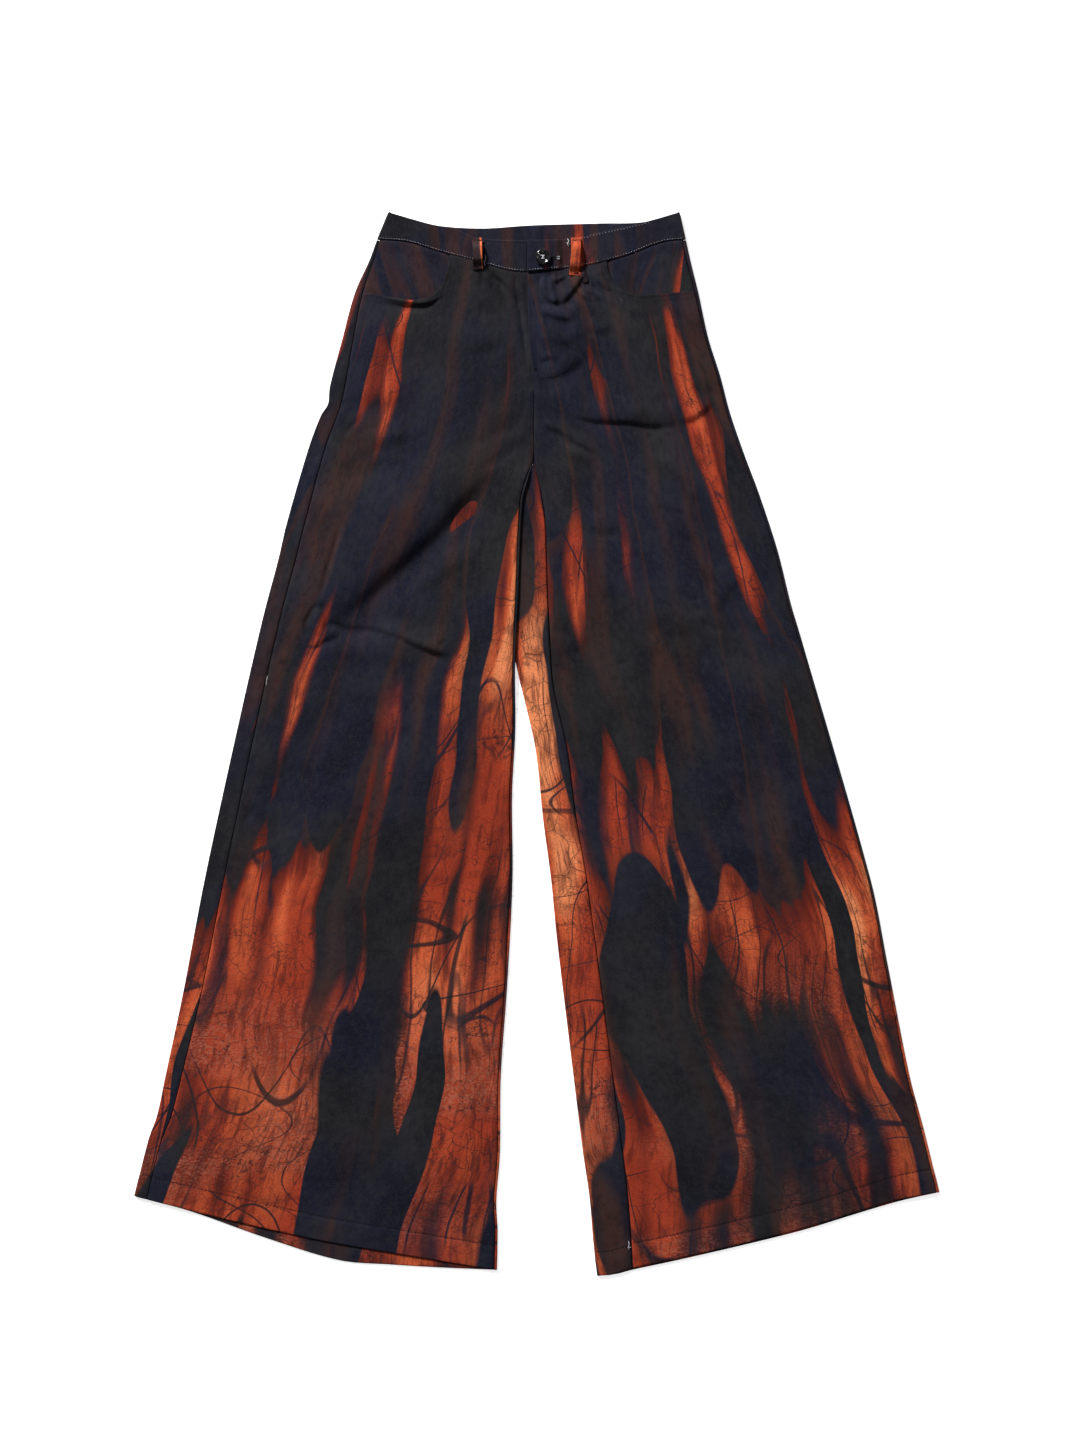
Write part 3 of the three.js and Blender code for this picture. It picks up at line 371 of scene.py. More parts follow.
# Creases by name of the leg: a path of (x, down), the widths on its two sides, and the
# height, down where negative. A narrow width on one side makes a sharp shadow there.
CREASES = {
    "right": [
        # the fold across the knee, and the short lines at its ends
        ([(-203, 434), (-190, 432), (-165, 435.5), (-140, 442), (-118, 452), (-98, 457.5), (-80, 461)], (2.2, 7.0), -1.5),
        ([(-213, 441), (-190, 443), (-165, 447), (-140, 454), (-112, 465)], (7, 12), 0.4),
        ([(-231, 454), (-216, 443), (-197, 436)], (1.7, 6.0), -1.5),
        ([(-214, 421), (-201, 426), (-190, 431)], (1.7, 4.5), -1.8),
        ([(-170, 441), (-168, 457)], (1.6, 2.2), -1.1),
        ([(-99, 448), (-94, 444), (-89, 442)], (1.7, 2.2), -0.9),
        # the leaf-shaped puff beside the knee, and the line that runs down to it
        ([(-222, 401), (-218, 410), (-214, 421), (-217, 434)], (5.0, 1.8), -1.6),
        ([(-222, 401), (-231, 414), (-236, 426), (-233, 440)], (5.0, 1.9), -1.5),
        ([(-223, 406), (-225, 420), (-224, 438)], (5, 5), 1.0),
        ([(-198, 318), (-204, 342), (-212, 368), (-218, 390), (-222, 402)], (2.6, 3.2), -1.2),
        ([(-142, 470), (-140, 482), (-138, 494)], (1.8, 2.8), -0.9),
        # soft troughs on the hip
        ([(-177, 198), (-179, 212), (-189, 222), (-197, 234)], (2.2, 2.6), -0.6),
        ([(-160, 130), (-120, 150), (-84, 176)], (16, 22), -0.9),
        ([(-205, 262), (-180, 268), (-150, 262)], (6, 9), -0.6),
        ([(-212, 243), (-222, 247), (-232, 251)], (1.8, 3.0), -1.1),
        ([(-206, 206), (-214, 198), (-222, 195)], (2.6, 3.6), -0.9),
        # beside the fly
        ([(-21, 60), (-18, 84), (-13, 108), (-9, 140), (-5, 172)], (2.0, 3.0), -1.5),
        ([(-13, 60), (-12, 84), (-10, 104), (-7, 130)], (2.4, 2.4), 0.8),
        ([(-37, 62), (-33, 82), (-26, 104)], (3.0, 3.4), -0.8),
        ([(-76, 50), (-72, 66), (-63, 86)], (3, 4), -0.7),
        ([(-6, 196), (-10, 224), (-22, 248)], (5, 8), 0.6),
        ([(-8, 232), (-30, 252), (-58, 268)], (4, 7), -0.8),
        ([(-12, 214), (-44, 232), (-80, 246)], (6, 9), -0.5),
        # short lines and long soft waves down the leg
        ([(-251, 556), (-254, 564), (-258, 573)], (1.8, 3.0), -1.0),
        ([(-274, 660), (-279, 668), (-286, 676)], (1.8, 3.0), -0.8),
        ([(-285, 612), (-292, 620), (-302, 636)], (2.2, 3.4), -0.8),
        ([(-340, 848), (-350, 849), (-361, 850)], (1.8, 2.6), -1.2),
        ([(-120, 480), (-150, 540), (-176, 620), (-200, 720)], (16, 22), -1.2),
        ([(-70, 500), (-80, 600), (-88, 720), (-96, 860)], (20, 24), -1.2),
        ([(-230, 500), (-262, 620), (-292, 760), (-318, 900)], (22, 20), -1.3),
        ([(-175, 640), (-196, 780), (-214, 940), (-226, 1046)], (24, 20), 1.3),
        ([(-110, 640), (-126, 800), (-142, 960), (-150, 1068)], (18, 24), -1.2),
        ([(-280, 760), (-306, 890), (-330, 1010)], (18, 22), 1.1),
        ([(-60, 760), (-66, 900), (-70, 1070)], (16, 16), 1.0),
        ([(-120, 500), (-98, 512), (-64, 514)], (5, 8), -0.6),
        ([(-205, 500), (-176, 508), (-150, 504)], (6, 10), -0.6),
    ],
    "left": [
        # the fold across the hip, and the short one below it
        ([(32, 209), (46, 214), (60, 217.5), (80, 218.5), (100, 219.5), (120, 222.5), (137, 221.5), (152, 218)], (1.5, 2.8), -0.7),
        ([(40, 226), (56, 229), (84, 231), (116, 233)], (6, 9), 0.5),
        ([(26, 236), (40, 240), (53, 245), (66, 253)], (1.8, 3.4), -0.8),
        ([(160, 180), (178, 186), (196, 186)], (5, 7), -0.6),
        # the small fold above the fly's end
        ([(6, 160), (9, 155), (15, 153), (20, 157)], (1.5, 2.2), -1.1),
        ([(8, 153), (15, 148), (23, 152)], (2.6, 2.2), 0.8),
        # gathers below the waistband
        ([(14, 62), (18, 80), (24, 100)], (2.6, 2.0), 1.3),
        ([(30, 60), (42, 78), (60, 94)], (2.4, 2.2), 1.2),
        ([(44, 98), (56, 112), (64, 130)], (6, 8), -0.6),
        ([(71, 55), (73, 62), (73, 69)], (1.7, 1.7), -1.2),
        ([(77, 54), (78, 61), (77, 67)], (1.7, 1.7), -1.2),
        ([(52, 60), (58, 74), (70, 86)], (2.2, 2.6), -1.0),
        ([(90, 52), (96, 66), (98, 84)], (2.4, 3.0), -0.9),
        ([(4, 64), (5, 84), (12, 100)], (2.0, 2.6), -1.2),
        ([(128, 98), (122, 120), (104, 136)], (9, 12), -0.5),
        # short lines and long soft waves down the leg
        ([(85, 466), (92, 464), (100, 464)], (1.5, 2.4), -1.0),
        ([(165, 404), (169, 409), (174, 412)], (1.5, 2.4), -0.9),
        ([(148, 391), (160, 398), (173, 400)], (1.8, 3.6), -0.8),
        ([(171, 419), (184, 428), (198, 430)], (1.8, 3.8), -0.9),
        ([(158, 424), (166, 437), (169, 452)], (1.8, 3.2), -0.7),
        ([(186, 388), (193, 402), (205, 410)], (2.0, 4.0), -0.7),
        ([(126, 300), (140, 309), (158, 311)], (2.4, 5.0), -0.6),
        ([(6, 262), (26, 300), (44, 352)], (5, 8), -0.7),
        ([(150, 330), (176, 352), (208, 360)], (9, 13), -0.8),
        ([(118, 420), (140, 436), (170, 438)], (5, 9), -0.7),
        ([(204, 420), (222, 430), (246, 428)], (5, 8), -0.6),
        ([(190, 470), (214, 580), (240, 720), (262, 860)], (22, 24), -1.4),
        ([(110, 500), (128, 640), (150, 800), (166, 940)], (22, 20), 1.3),
        ([(150, 560), (172, 700), (196, 860), (212, 1060)], (18, 22), -1.2),
        ([(250, 620), (284, 770), (318, 920), (338, 1024)], (20, 18), 1.2),
        ([(290, 620), (316, 740), (352, 900)], (16, 20), -1.1),
        ([(70, 600), (86, 740), (104, 900), (116, 1080)], (18, 16), -1.0),
    ],
}

# Falls: places where the cloth drops from a gentle rise to a gentle hollow, so that a dark
# slope faces the hems. A path of (x, down) with the drop on its right, half the width of the
# slope, the reaches of the rise and of the hollow, and the height.
FALLS = {
    "right": [
        ([(-222, 430), (-200, 414), (-176, 398), (-155, 378), (-130, 356), (-102, 332), (-80, 306), (-58, 282), (-34, 256)], 7.0, (52, 60), 2.7),
        ([(-126, 391), (-105, 382), (-85, 369), (-64, 350)], 7, (13, 22), 0.9),
        ([(-206, 430), (-190, 428), (-165, 431), (-140, 438), (-118, 448), (-98, 455), (-78, 459)], 3.2, (18, 20), 2.1),
        ([(-172, 244), (-150, 237), (-122, 232)], 6, (16, 14), 0.9),
        ([(-168, 256), (-150, 258), (-132, 253)], 5, (8, 12), 0.5),
        ([(-188, 190), (-160, 196), (-128, 192)], 7, (16, 16), 0.7),
        ([(-160, 88), (-148, 92), (-130, 95.5), (-112, 95.5), (-100, 91), (-92, 84)], 1.8, (6, 6), 2.0),
        ([(-50, 58), (-38, 66), (-27, 78), (-18, 96)], 2.2, (7, 7), 1.4),
        ([(-60, 58), (-54, 64), (-46, 80)], 1.8, (5, 6), 0.9),
        ([(-74, 76), (-60, 92), (-42, 108)], 4.0, (10, 10), 0.9),
        ([(-30, 130), (-52, 140), (-78, 138)], 6, (14, 12), -0.6),
        ([(-96, 470), (-70, 476), (-48, 472)], 5, (10, 10), 0.6),
        ([(-190, 520), (-160, 534), (-128, 532)], 7, (14, 16), 0.6),
        ([(-300, 600), (-280, 622), (-250, 632)], 6, (12, 14), 0.6),
    ],
    "left": [
        ([(30, 206), (45, 211), (60, 215), (80, 216), (100, 217), (120, 220), (137, 219), (154, 215)], 1.2, (12, 8), 0.55),
        ([(4, 219), (22, 225), (45, 238), (66, 252)], 2.0, (9, 8), 1.1),
        ([(38, 219), (50, 224), (62, 227)], 3.0, (5, 6), 0.4),
        ([(120, 252), (139, 269), (152, 286), (170, 304)], 5.5, (18, 15), 1.3),
        ([(50, 316), (62, 328), (76, 330), (90, 322)], 4.5, (22, 9), 0.9),
        ([(148, 216), (162, 214), (176, 205), (187, 194)], 2.0, (10, 8), 1.0),
        ([(106, 213), (117, 200), (128, 191), (147, 187)], 5.0, (9, 12), 0.5),
        ([(186, 414), (198, 396), (212, 376)], 5.5, (12, 14), 0.9),
        ([(2, 173), (20, 171), (34, 164), (46, 155), (52, 143)], 4.2, (16, 10), 1.1),
        ([(3, 70), (7, 81), (13, 90), (22, 94), (31, 91)], 2.6, (8, 8), 1.5),
        ([(18, 74), (25, 71.5), (32, 67), (38, 61)], 2.0, (6, 7), 1.0),
        ([(26, 98), (34, 90), (42, 80), (49, 70), (54, 62)], 2.4, (8, 8), 1.5),
        ([(6, 102), (24, 110), (44, 112)], 3.4, (9, 9), 1.7),
        ([(80, 74), (90, 94), (100, 114)], 3.4, (9, 9), 1.7),
        ([(60, 70), (72, 78), (82, 92)], 2.6, (6, 7), 0.9),
        ([(52, 118), (66, 124), (84, 120)], 4.0, (10, 9), 0.9),
        ([(12, 128), (28, 136), (42, 132)], 4.0, (9, 9), 0.7),
        ([(56, 80), (64, 88), (76, 94)], 3.0, (6, 8), 0.6),
        ([(20, 452), (40, 450), (58, 436)], 5, (10, 12), 0.6),
        ([(40, 590), (50, 606), (58, 574)], 5, (10, 10), 0.5),
        ([(250, 726), (262, 734), (276, 758)], 5, (12, 14), 0.7),
    ],
}
STRIP_CREASES = {
    "right": [
        ([(-233, 254), (-224, 251), (-214, 246)], (1.6, 2.6), -0.8),
        ([(-203, 149), (-197, 153), (-191, 156)], (1.8, 2.6), -0.6),
        ([(-222, 207), (-214, 206), (-208, 203)], (2.0, 3.0), -0.6),
        ([(-252, 318), (-246, 322), (-240, 322)], (2.4, 3.6), -0.5),
    ],
    "left": [],
}
PUCKERS = {"right": 13, "left": 14}  # short gathers along the waistband's seam
CREASE_DEPTH = 1.2
FALL_DEPTH = 1.3


def waist_puckers(side_name, x, down):
    """Short gathers that run down from the waistband's seam, each of its own length."""
    leg = legs[side_name]
    random = np.random.RandomState(11 if side_name == "right" else 23)
    ends = (abs(leg.facing_top) * leg.side, 6 * leg.side)
    total = np.zeros(np.shape(x))
    count = PUCKERS[side_name]
    for i in range(count):
        start = lerp(*ends, (i + random.uniform(0.25, 0.75)) / count)
        lean = random.uniform(-0.25, 0.25)
        length = random.uniform(12, 38)
        width = random.uniform(1.8, 3.2)
        height = random.uniform(-1.05, 0.85)
        below = down - seam_line(x)
        aside = x - start - lean * below
        total += height * np.exp(-((aside / width) ** 2)) * (1 - smoothstep(below, 2, length))
    return total


def near_path(points, reach, x, down):
    low, high = points.min(axis=0) - reach, points.max(axis=0) + reach
    return (x > low[0]) & (x < high[0]) & (down > low[1]) & (down < high[1])


def taper(share):
    """A fold rises from nothing at its start and dies away at its end."""
    return smoothstep(share, 0, 0.26) * (1 - smoothstep(share, 0.74, 1))


def creases(rows, x, down):
    total = np.zeros(np.shape(x))
    for path, (left_width, right_width), height in rows:
        points = spline(path, 6 * len(path))
        near = near_path(points, 3.2 * max(left_width, right_width), x, down)
        if not near.any():
            continue
        d, side, share = along_path(points, x[near], down[near])
        width = np.where(side > 0, right_width, left_width)
        ends = taper(share)
        total[near] += height * ends * np.exp(-((d / width) ** 2))
    return total


def falls(rows, x, down):
    total = np.zeros(np.shape(x))
    for path, slope, (rise, hollow_reach), height in rows:
        points = spline(path, 6 * len(path))
        near = near_path(points, 3 * max(rise, hollow_reach), x, down)
        if not near.any():
            continue
        d, side, share = along_path(points, x[near], down[near])
        reach = np.where(side > 0, hollow_reach, rise)
        ends = taper(share)
        total[near] -= height * ends * side * np.tanh(d / slope) * np.exp(-((d / reach) ** 2))
    return total


def fine_folds(side_name, x, down):
    return CREASE_DEPTH * creases(CREASES[side_name], x, down) + FALL_DEPTH * falls(FALLS[side_name], x, down)


def relief(leg, x, down):
    """How far the front stands up off its flat level: slack and folds, none at the edges."""
    from_outer = (x - leg.outer_edge(down)) * -leg.side
    from_inner = (leg.inner_edge(np.maximum(down, CROTCH)) - x) * -leg.side
    leg_share = smoothstep(down, CROTCH - 70, CROTCH)
    outer_share = smoothstep(from_outer, 3, 40)
    inner_share = lerp(1, smoothstep(from_inner, 13, 45), leg_share)
    waist_share = smoothstep(down, 70, 130)
    hem_share = 1 - smoothstep(down, 960, 1030)
    centre_share = np.where(down < CROTCH, smoothstep(np.abs(x), 4, 30), 1)
    fly_share = lerp(1, centre_share, smoothstep(down, 186, CROTCH))
    raised = np.maximum(SLACK_RISE + large_folds(x, down), 0)
    return raised * outer_share * inner_share * waist_share * hem_share * fly_share


def front_lap(leg, x, down):
    """The front is raised once more where it lies on a pocket facing or the fly extension."""
    past_side = (leg.facing_top - x) * leg.side
    past_bottom = down - leg.facing_bottom(x)
    pocket = (1 - smoothstep(past_side, 3, 33)) * (1 - smoothstep(past_bottom, 3, 38))
    if leg.side < 0:
        return LAP_LIFT * pocket
    fly = (1 - smoothstep(x, FLY_RIGHT, FLY_RIGHT + 20)) * (1 - smoothstep(down, FLY_BOTTOM, FLY_BOTTOM + 24))
    return LAP_LIFT * np.maximum(pocket, fly)


def upper_level(leg, x, down, wall=WALL):
    return wall * 1.5 + hollow(down) + lap_over_leg(leg, x, down) + relief(leg, x, down)


def facing_dip(leg, x, down):
    """The facing sinks below the mouth's lower edge, so that the front can fold into a shadow there."""
    from_side = (x - leg.outer_seam(down)) * -leg.side
    depth = 1.25 if leg.side < 0 else 0.6
    return depth * np.exp(-(((down - 101) / 9) ** 2)) * smoothstep(from_side, 6, 24) * (1 - smoothstep(from_side, 66, 88))


def waist_puff(leg, x, down):
    """The left front stands up a little beside the fly, where it is gathered most."""
    if leg.side < 0:
        return 0.0
    from_band = down - seam_line(x)
    return 1.6 * smoothstep(x, 1, 10) * (1 - smoothstep(x, 58, 86)) * smoothstep(from_band, 1, 11) * (1 - smoothstep(down, 122, 164))


def lower_layer(side_name, x, down):
    """The least middle height that keeps a front above the facing or fly extension below it."""
    leg = legs[side_name]
    past = np.maximum((leg.facing_top - x) * leg.side, down - leg.facing_bottom(x))
    least = upper_level(leg, x, down) - facing_dip(leg, x, down) + 0.3 + CLOTH + 0.05 - 4 * smoothstep(past, 1.5, 16)
    if leg.side > 0:
        past = np.maximum(x - FLY_RIGHT, down - FLY_BOTTOM)
        on_fly = front_level("right", np.minimum(x, FLY_RIGHT), down) + CLOTH + 0.08 - 4 * smoothstep(past, 1.5, 16)
        least = np.maximum(least, on_fly)
    return least


def seam_groove(distance):
    """The cloth dips into a pressed seam, from a soft shoulder beside it."""
    return 0.15 * np.exp(-(((distance - 4.5) / 2.6) ** 2)) - 0.45 * np.exp(-((distance / 1.3) ** 2))


def front_level(side_name, x, down):
    """The middle height of a front panel, with every fold, seam edge and ripple."""
    leg = legs[side_name]
    x, down = np.asarray(x, float), np.asarray(down, float)
    z = upper_level(leg, x, down) + front_lap(leg, x, down) + waist_puff(leg, x, down)
    from_side = np.abs(x - leg.outer_x(down))
    from_inner = np.abs(x - leg.inner_x(down))
    from_band = np.abs(down - seam_line(x))
    free = smoothstep(from_side, 0, 14) * smoothstep(from_inner, 0, 12) * smoothstep(from_band, 0, 8)
    free = free * (1 - smoothstep(down, 1000, 1066) * 0.8)
    lumps = 0.55 * ripple(x, down, 58, 120, 3) + 0.26 * ripple(x, down, 21, 44, 5) + 0.09 * ripple(x, down, 7, 15, 8)
    crumple = 0.5 - np.abs(ripple(x, down, 17, 30, 31)) - 0.6 * np.abs(ripple(x, down, 8, 13, 37))
    lumps = lumps + lerp(0.16, 0.42, 1 - smoothstep(down, 96, 190)) * crumple
    z = z + free * (fine_folds(side_name, x, down) + lumps)
    z = z + waist_puckers(side_name, x, down) * smoothstep(from_band, 0, 3)
    z = z + np.maximum(BAND_HIGH + 0.3 - z, 0) * (1 - smoothstep(from_band, 0.5, 15))
    z = np.maximum(z, lower_layer(side_name, x, down))
    # the cloth turns under along its sewn edges
    hem_line = leg.hem["front"](x) - HEM_DEPTH
    z = z - 0.4 * np.exp(-((from_band / 1.3) ** 2))
    z = z + seam_groove(from_side) * (down > POCKET_END[0])
    sewn = smoothstep(down, 168, 180)
    z = z + seam_groove(from_inner) * sewn
    z = z + 0.3 * np.exp(-((from_inner / 3.5) ** 2)) * (1 - sewn)
    z = z - 0.3 * np.exp(-(((down - hem_line) / 0.8) ** 2))
    z = z + 0.12 * np.exp(-(((down - hem_line - 9) / 6) ** 2)) * ripple(x, down, 6, 30, 14)
    # the pocket mouth's folded edge
    from_mouth, _, _ = along_path(leg.mouth, x, down)
    z = z + 0.35 * np.exp(-((from_mouth / 3.0) ** 2))
    return z


def back_upper_level(side_name, x, down):
    """The middle height of the back panel's strips on the upper side."""
    leg = legs[side_name]
    z = upper_level(leg, x, down)
    from_side = np.abs(x - leg.outer_seam(down))
    from_inner = np.abs(x - leg.inner_seam(np.maximum(down, CROTCH)))
    z = z + seam_groove(from_side) + seam_groove(from_inner) * (down > CROTCH)
    free = smoothstep(from_side, 0, 6) * smoothstep(from_inner, 0, 6)
    lumps = 0.26 * ripple(x, down, 12, 40, 21) + 0.14 * ripple(x, down, 5, 14, 22)
    return z + free * (lumps + CREASE_DEPTH * creases(STRIP_CREASES[side_name], x, down))


# ---------------------------------------------------------------- meshes


def place(x, down, z):
    """Draft places in the row frame, in metres."""
    x, down, z = np.broadcast_arrays(x, down, z)
    return np.stack([(x + CENTRE_X) * MM, (TOP_Y - down) * MM, z * MM], axis=-1)


def new_piece(name, points, faces, material, slot):
    mesh = bpy.data.meshes.new(name)
    mesh.from_pydata(np.asarray(points).tolist(), [], [list(map(int, face)) for face in faces])
    mesh.polygons.foreach_set("use_smooth", np.ones(len(mesh.polygons), bool))
    mesh.materials.append(material)
    mesh.update()
    obj = bpy.data.objects.new(name, mesh)
    bpy.context.collection.objects.link(obj)
    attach(obj, "root")
    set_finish(obj, slot)
    return obj


def shell(grid, thick, closed_ring=False):
    """A closed shell from a grid of middle points: its points and faces. The rim is
    thinner than the rest, which rounds the edge."""
    rows, across = grid.shape[:2]
    along = np.gradient(grid, axis=0)
    over = np.gradient(grid, axis=1)
    normal = np.cross(over, along)
    normal /= np.maximum(np.linalg.norm(normal, axis=2, keepdims=True), 1e-12)
    half = np.broadcast_to(np.asarray(thick, float), (rows, across)).copy() * MM / 2
    half[[0, -1], :] *= 0.4
    half[:, [0, -1]] *= 0.4
    top = grid + normal * half[..., None]
    bottom = grid - normal * half[..., None]
    points = np.concatenate([top.reshape(-1, 3), bottom.reshape(-1, 3)])
    count = rows * across
    index = np.arange(count).reshape(rows, across)
    a, b = index[:-1, :-1].ravel(), index[1:, :-1].ravel()
    c, d = index[1:, 1:].ravel(), index[:-1, 1:].ravel()
    faces = [np.stack([a, b, c, d], axis=1), count + np.stack([a, d, c, b], axis=1)]
    rim = np.concatenate([index[0, :-1], index[:-1, -1], index[-1, :0:-1], index[:0:-1, 0]])
    after = np.roll(rim, -1)
    faces.append(np.stack([rim, after, count + after, count + rim], axis=1))
    faces = np.concatenate(faces)
    p = points[faces]
    volume = np.einsum("ij,ij->i", p[:, 0], np.cross(p[:, 1], p[:, 2])) + np.einsum(
        "ij,ij->i", p[:, 0], np.cross(p[:, 2], p[:, 3])
    )
    if volume.sum() < 0:
        faces = faces[:, ::-1]
    return points, faces


EDGE_STEPS = np.array([0, 0.35, 0.9, 1.7, 2.8, 4.4, 6.6])


def across_columns(start, end, middle):
    """Columns from start to end on each row: close at both edges and even between."""
    width = np.abs(end - start)[:, None]
    edge = EDGE_STEPS[None, :] * np.minimum(1, width / 60) / width
    inner = np.linspace(0, 1, middle + 2)[None, 1:-1]
    inner = edge[:, -1:] + (1 - 2 * edge[:, -1:]) * inner
    return np.hstack([edge, inner, 1 - edge[:, ::-1]])


FRONT_COLUMNS = 118
HEM_ROWS = np.array([28, 26.4, 25.7, 25.2, 24.8, 24.3, 23.4, 20, 16, 12, 8, 5, 3, 1.6, 0.7, 0])


def shared_rows(leg):
    """Rows from the pocket's end to the hem: where each meets the outer and inner edge."""

    def through(end, hem):
        return np.concatenate([
            np.linspace(POCKET_END[end], CROTCH_LINE[end], 58, endpoint=False),
            np.linspace(CROTCH_LINE[end], KNEE_LINE[end], 92, endpoint=False),
            np.linspace(KNEE_LINE[end], hem - 30, 96, endpoint=False),
            hem - HEM_ROWS,
        ])

    return through(0, leg.outer_hem), through(1, leg.inner_hem)


def row_down(leg, outer, inner, x, layer):
    outer_x = leg.outer_edge(outer)
    inner_x = np.where(inner > CROTCH, leg.inner_edge(np.maximum(inner, CROTCH)), 0)
    share = (x - outer_x) / (inner_x - outer_x)
    down = lerp(outer, inner, share)
    along = np.clip(share, 0, 1)
    hem_x = lerp(leg.outer_edge(leg.outer_hem), leg.inner_edge(leg.inner_hem), along)
    hem_share = smoothstep(inner, KNEE_LINE[1], leg.inner_hem - HEM_DEPTH)
    down = down + hem_share * (leg.hem[layer](hem_x) - lerp(leg.outer_hem, leg.inner_hem, along))
    if layer == "back":
        waist_share = 1 - smoothstep(inner, WAIST_LINE[1], CROTCH)
        waist_x = lerp(leg.outer_edge(WAIST_LINE[0]), 0, along)
        seam = band_edge["back_bottom"](waist_x) + BAND_GAP
        down = down + waist_share * (seam - lerp(*WAIST_LINE, along))
    return down


def hem_thickness(down, hem_line):
    return lerp(CLOTH, HEM, smoothstep(down, hem_line - 1, hem_line + 9))


def front_grid(leg):
    outer, inner = shared_rows(leg)
    start, end = leg.outer_x(outer), leg.inner_x(inner)
    u = across_columns(start, end, FRONT_COLUMNS)
    x = lerp(start[:, None], end[:, None], u)
    down = row_down(leg, outer[:, None], inner[:, None], x, "front")
    first_x, first_down = x[0, 0], down[0, 0]

    # above the pocket's end, rows start on the mouth, and the first follows the band
    f = np.concatenate([[0, 0.006, 0.014, 0.026, 0.045, 0.07], np.linspace(0.1, 1, 56, endpoint=False)])
    mouth = np.array([[np.interp(g, np.linspace(0, 1, 61), leg.mouth[:, k]) for k in (0, 1)] for g in f])
    to_end = smoothstep(f, 0.6, 1)
    start_x = lerp(mouth[:, 0], first_x + mouth[:, 0] - leg.mouth[-1, 0], to_end)
    start_down = np.where(f == 0, seam_line(start_x), np.maximum(mouth[:, 1], seam_line(start_x)))
    end_down = lerp(seam_line(float(leg.centre_edge(0))), down[0, -1], f)
    end_x = leg.inner_x(end_down)
    u = across_columns(start_x, end_x, FRONT_COLUMNS)
    top_x = lerp(start_x[:, None], end_x[:, None], u)
    edge_x = lerp(leg.mouth[0, 0], end_x[0], u)
    bend = seam_line(edge_x) - lerp(seam_line(leg.mouth[0, 0]), seam_line(end_x[0]), u)
    top_down = lerp(start_down[:, None], end_down[:, None], u) + (1 - f[:, None]) * bend
    return np.vstack([top_x, x]), np.vstack([top_down, down])


def front_panel(side_name, material):
    leg = legs[side_name]
    x, down = front_grid(leg)
    grid = place(x, down, front_level(side_name, x, down))
    thick = hem_thickness(down, leg.hem["front"](x) - HEM_DEPTH)
    points, faces = shell(grid, thick)
    obj = new_piece(f"cloth_front_{side_name}", points, faces, material, "printed_cloth")
    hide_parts(f"front_{side_name}")
    return obj


# Soft creases of the underside, which the surface presses flat: each rises a little.
BACK_CREASES = {
    "right": [
        ([(-60, 290), (-110, 330), (-170, 372)], (7, 11), 0.9),
        ([(-190, 430), (-140, 442), (-84, 452)], (6, 9), 1.0),
        ([(-196, 300), (-214, 350), (-226, 400)], (6, 9), 0.8),
        ([(-70, 560), (-100, 700), (-130, 860)], (14, 18), 0.7),
        ([(-230, 600), (-262, 740), (-290, 880)], (16, 18), 0.7),
        ([(-30, 120), (-60, 136), (-96, 140)], (7, 10), 0.9),
        ([(-20, 200), (-52, 212), (-90, 210)], (6, 9), 1.0),
    ],
    "left": [
        ([(36, 300), (80, 340), (140, 372)], (7, 11), 0.9),
        ([(64, 452), (130, 462), (190, 450)], (6, 9), 1.0),
        ([(180, 300), (204, 350), (222, 404)], (6, 9), 0.8),
        ([(110, 560), (140, 700), (170, 880)], (16, 18), 0.7),
        ([(236, 600), (272, 740), (300, 880)], (16, 18), 0.7),
        ([(30, 122), (64, 134), (104, 130)], (7, 10), 0.9),
        ([(24, 204), (56, 212), (98, 206)], (6, 9), 1.0),
    ],
}


def lower_level(side_name, x, down):
    leg = legs[side_name]
    z = WALL / 2 + lap_over_leg(leg, x, down)
    rise = np.zeros(np.shape(x))
    for path, (a, b), height in BACK_CREASES[side_name]:
        d, side, share = along_path(spline(path, 5 * len(path)), x, down)
        rise += height * np.sin(np.pi * share) ** 0.8 * np.exp(-((d / np.where(side > 0, b, a)) ** 2))
    rise += 0.10 * (1 + ripple(x, down, 24, 60, 31))
    from_outer = np.abs(x - leg.outer_edge(down))
    from_inner = np.abs(x - np.where(down > CROTCH, leg.inner_edge(np.maximum(down, CROTCH)), 0))
    return z + rise * smoothstep(from_outer, 8, 40) * smoothstep(from_inner, 8, 30)


def fold_arc(x, down, low, high, wall, outward, turn):
    """Places round a fold, from the lower layer (turn 0) to the upper layer (turn 1)."""
    radius = (high - low) / 2
    angle = np.radians(lerp(-90, 90, turn))
    centre = x - outward * (wall / 2 + radius)
    return centre + np.cos(angle) * outward * radius, down, (low + high) / 2 + np.sin(angle) * radius


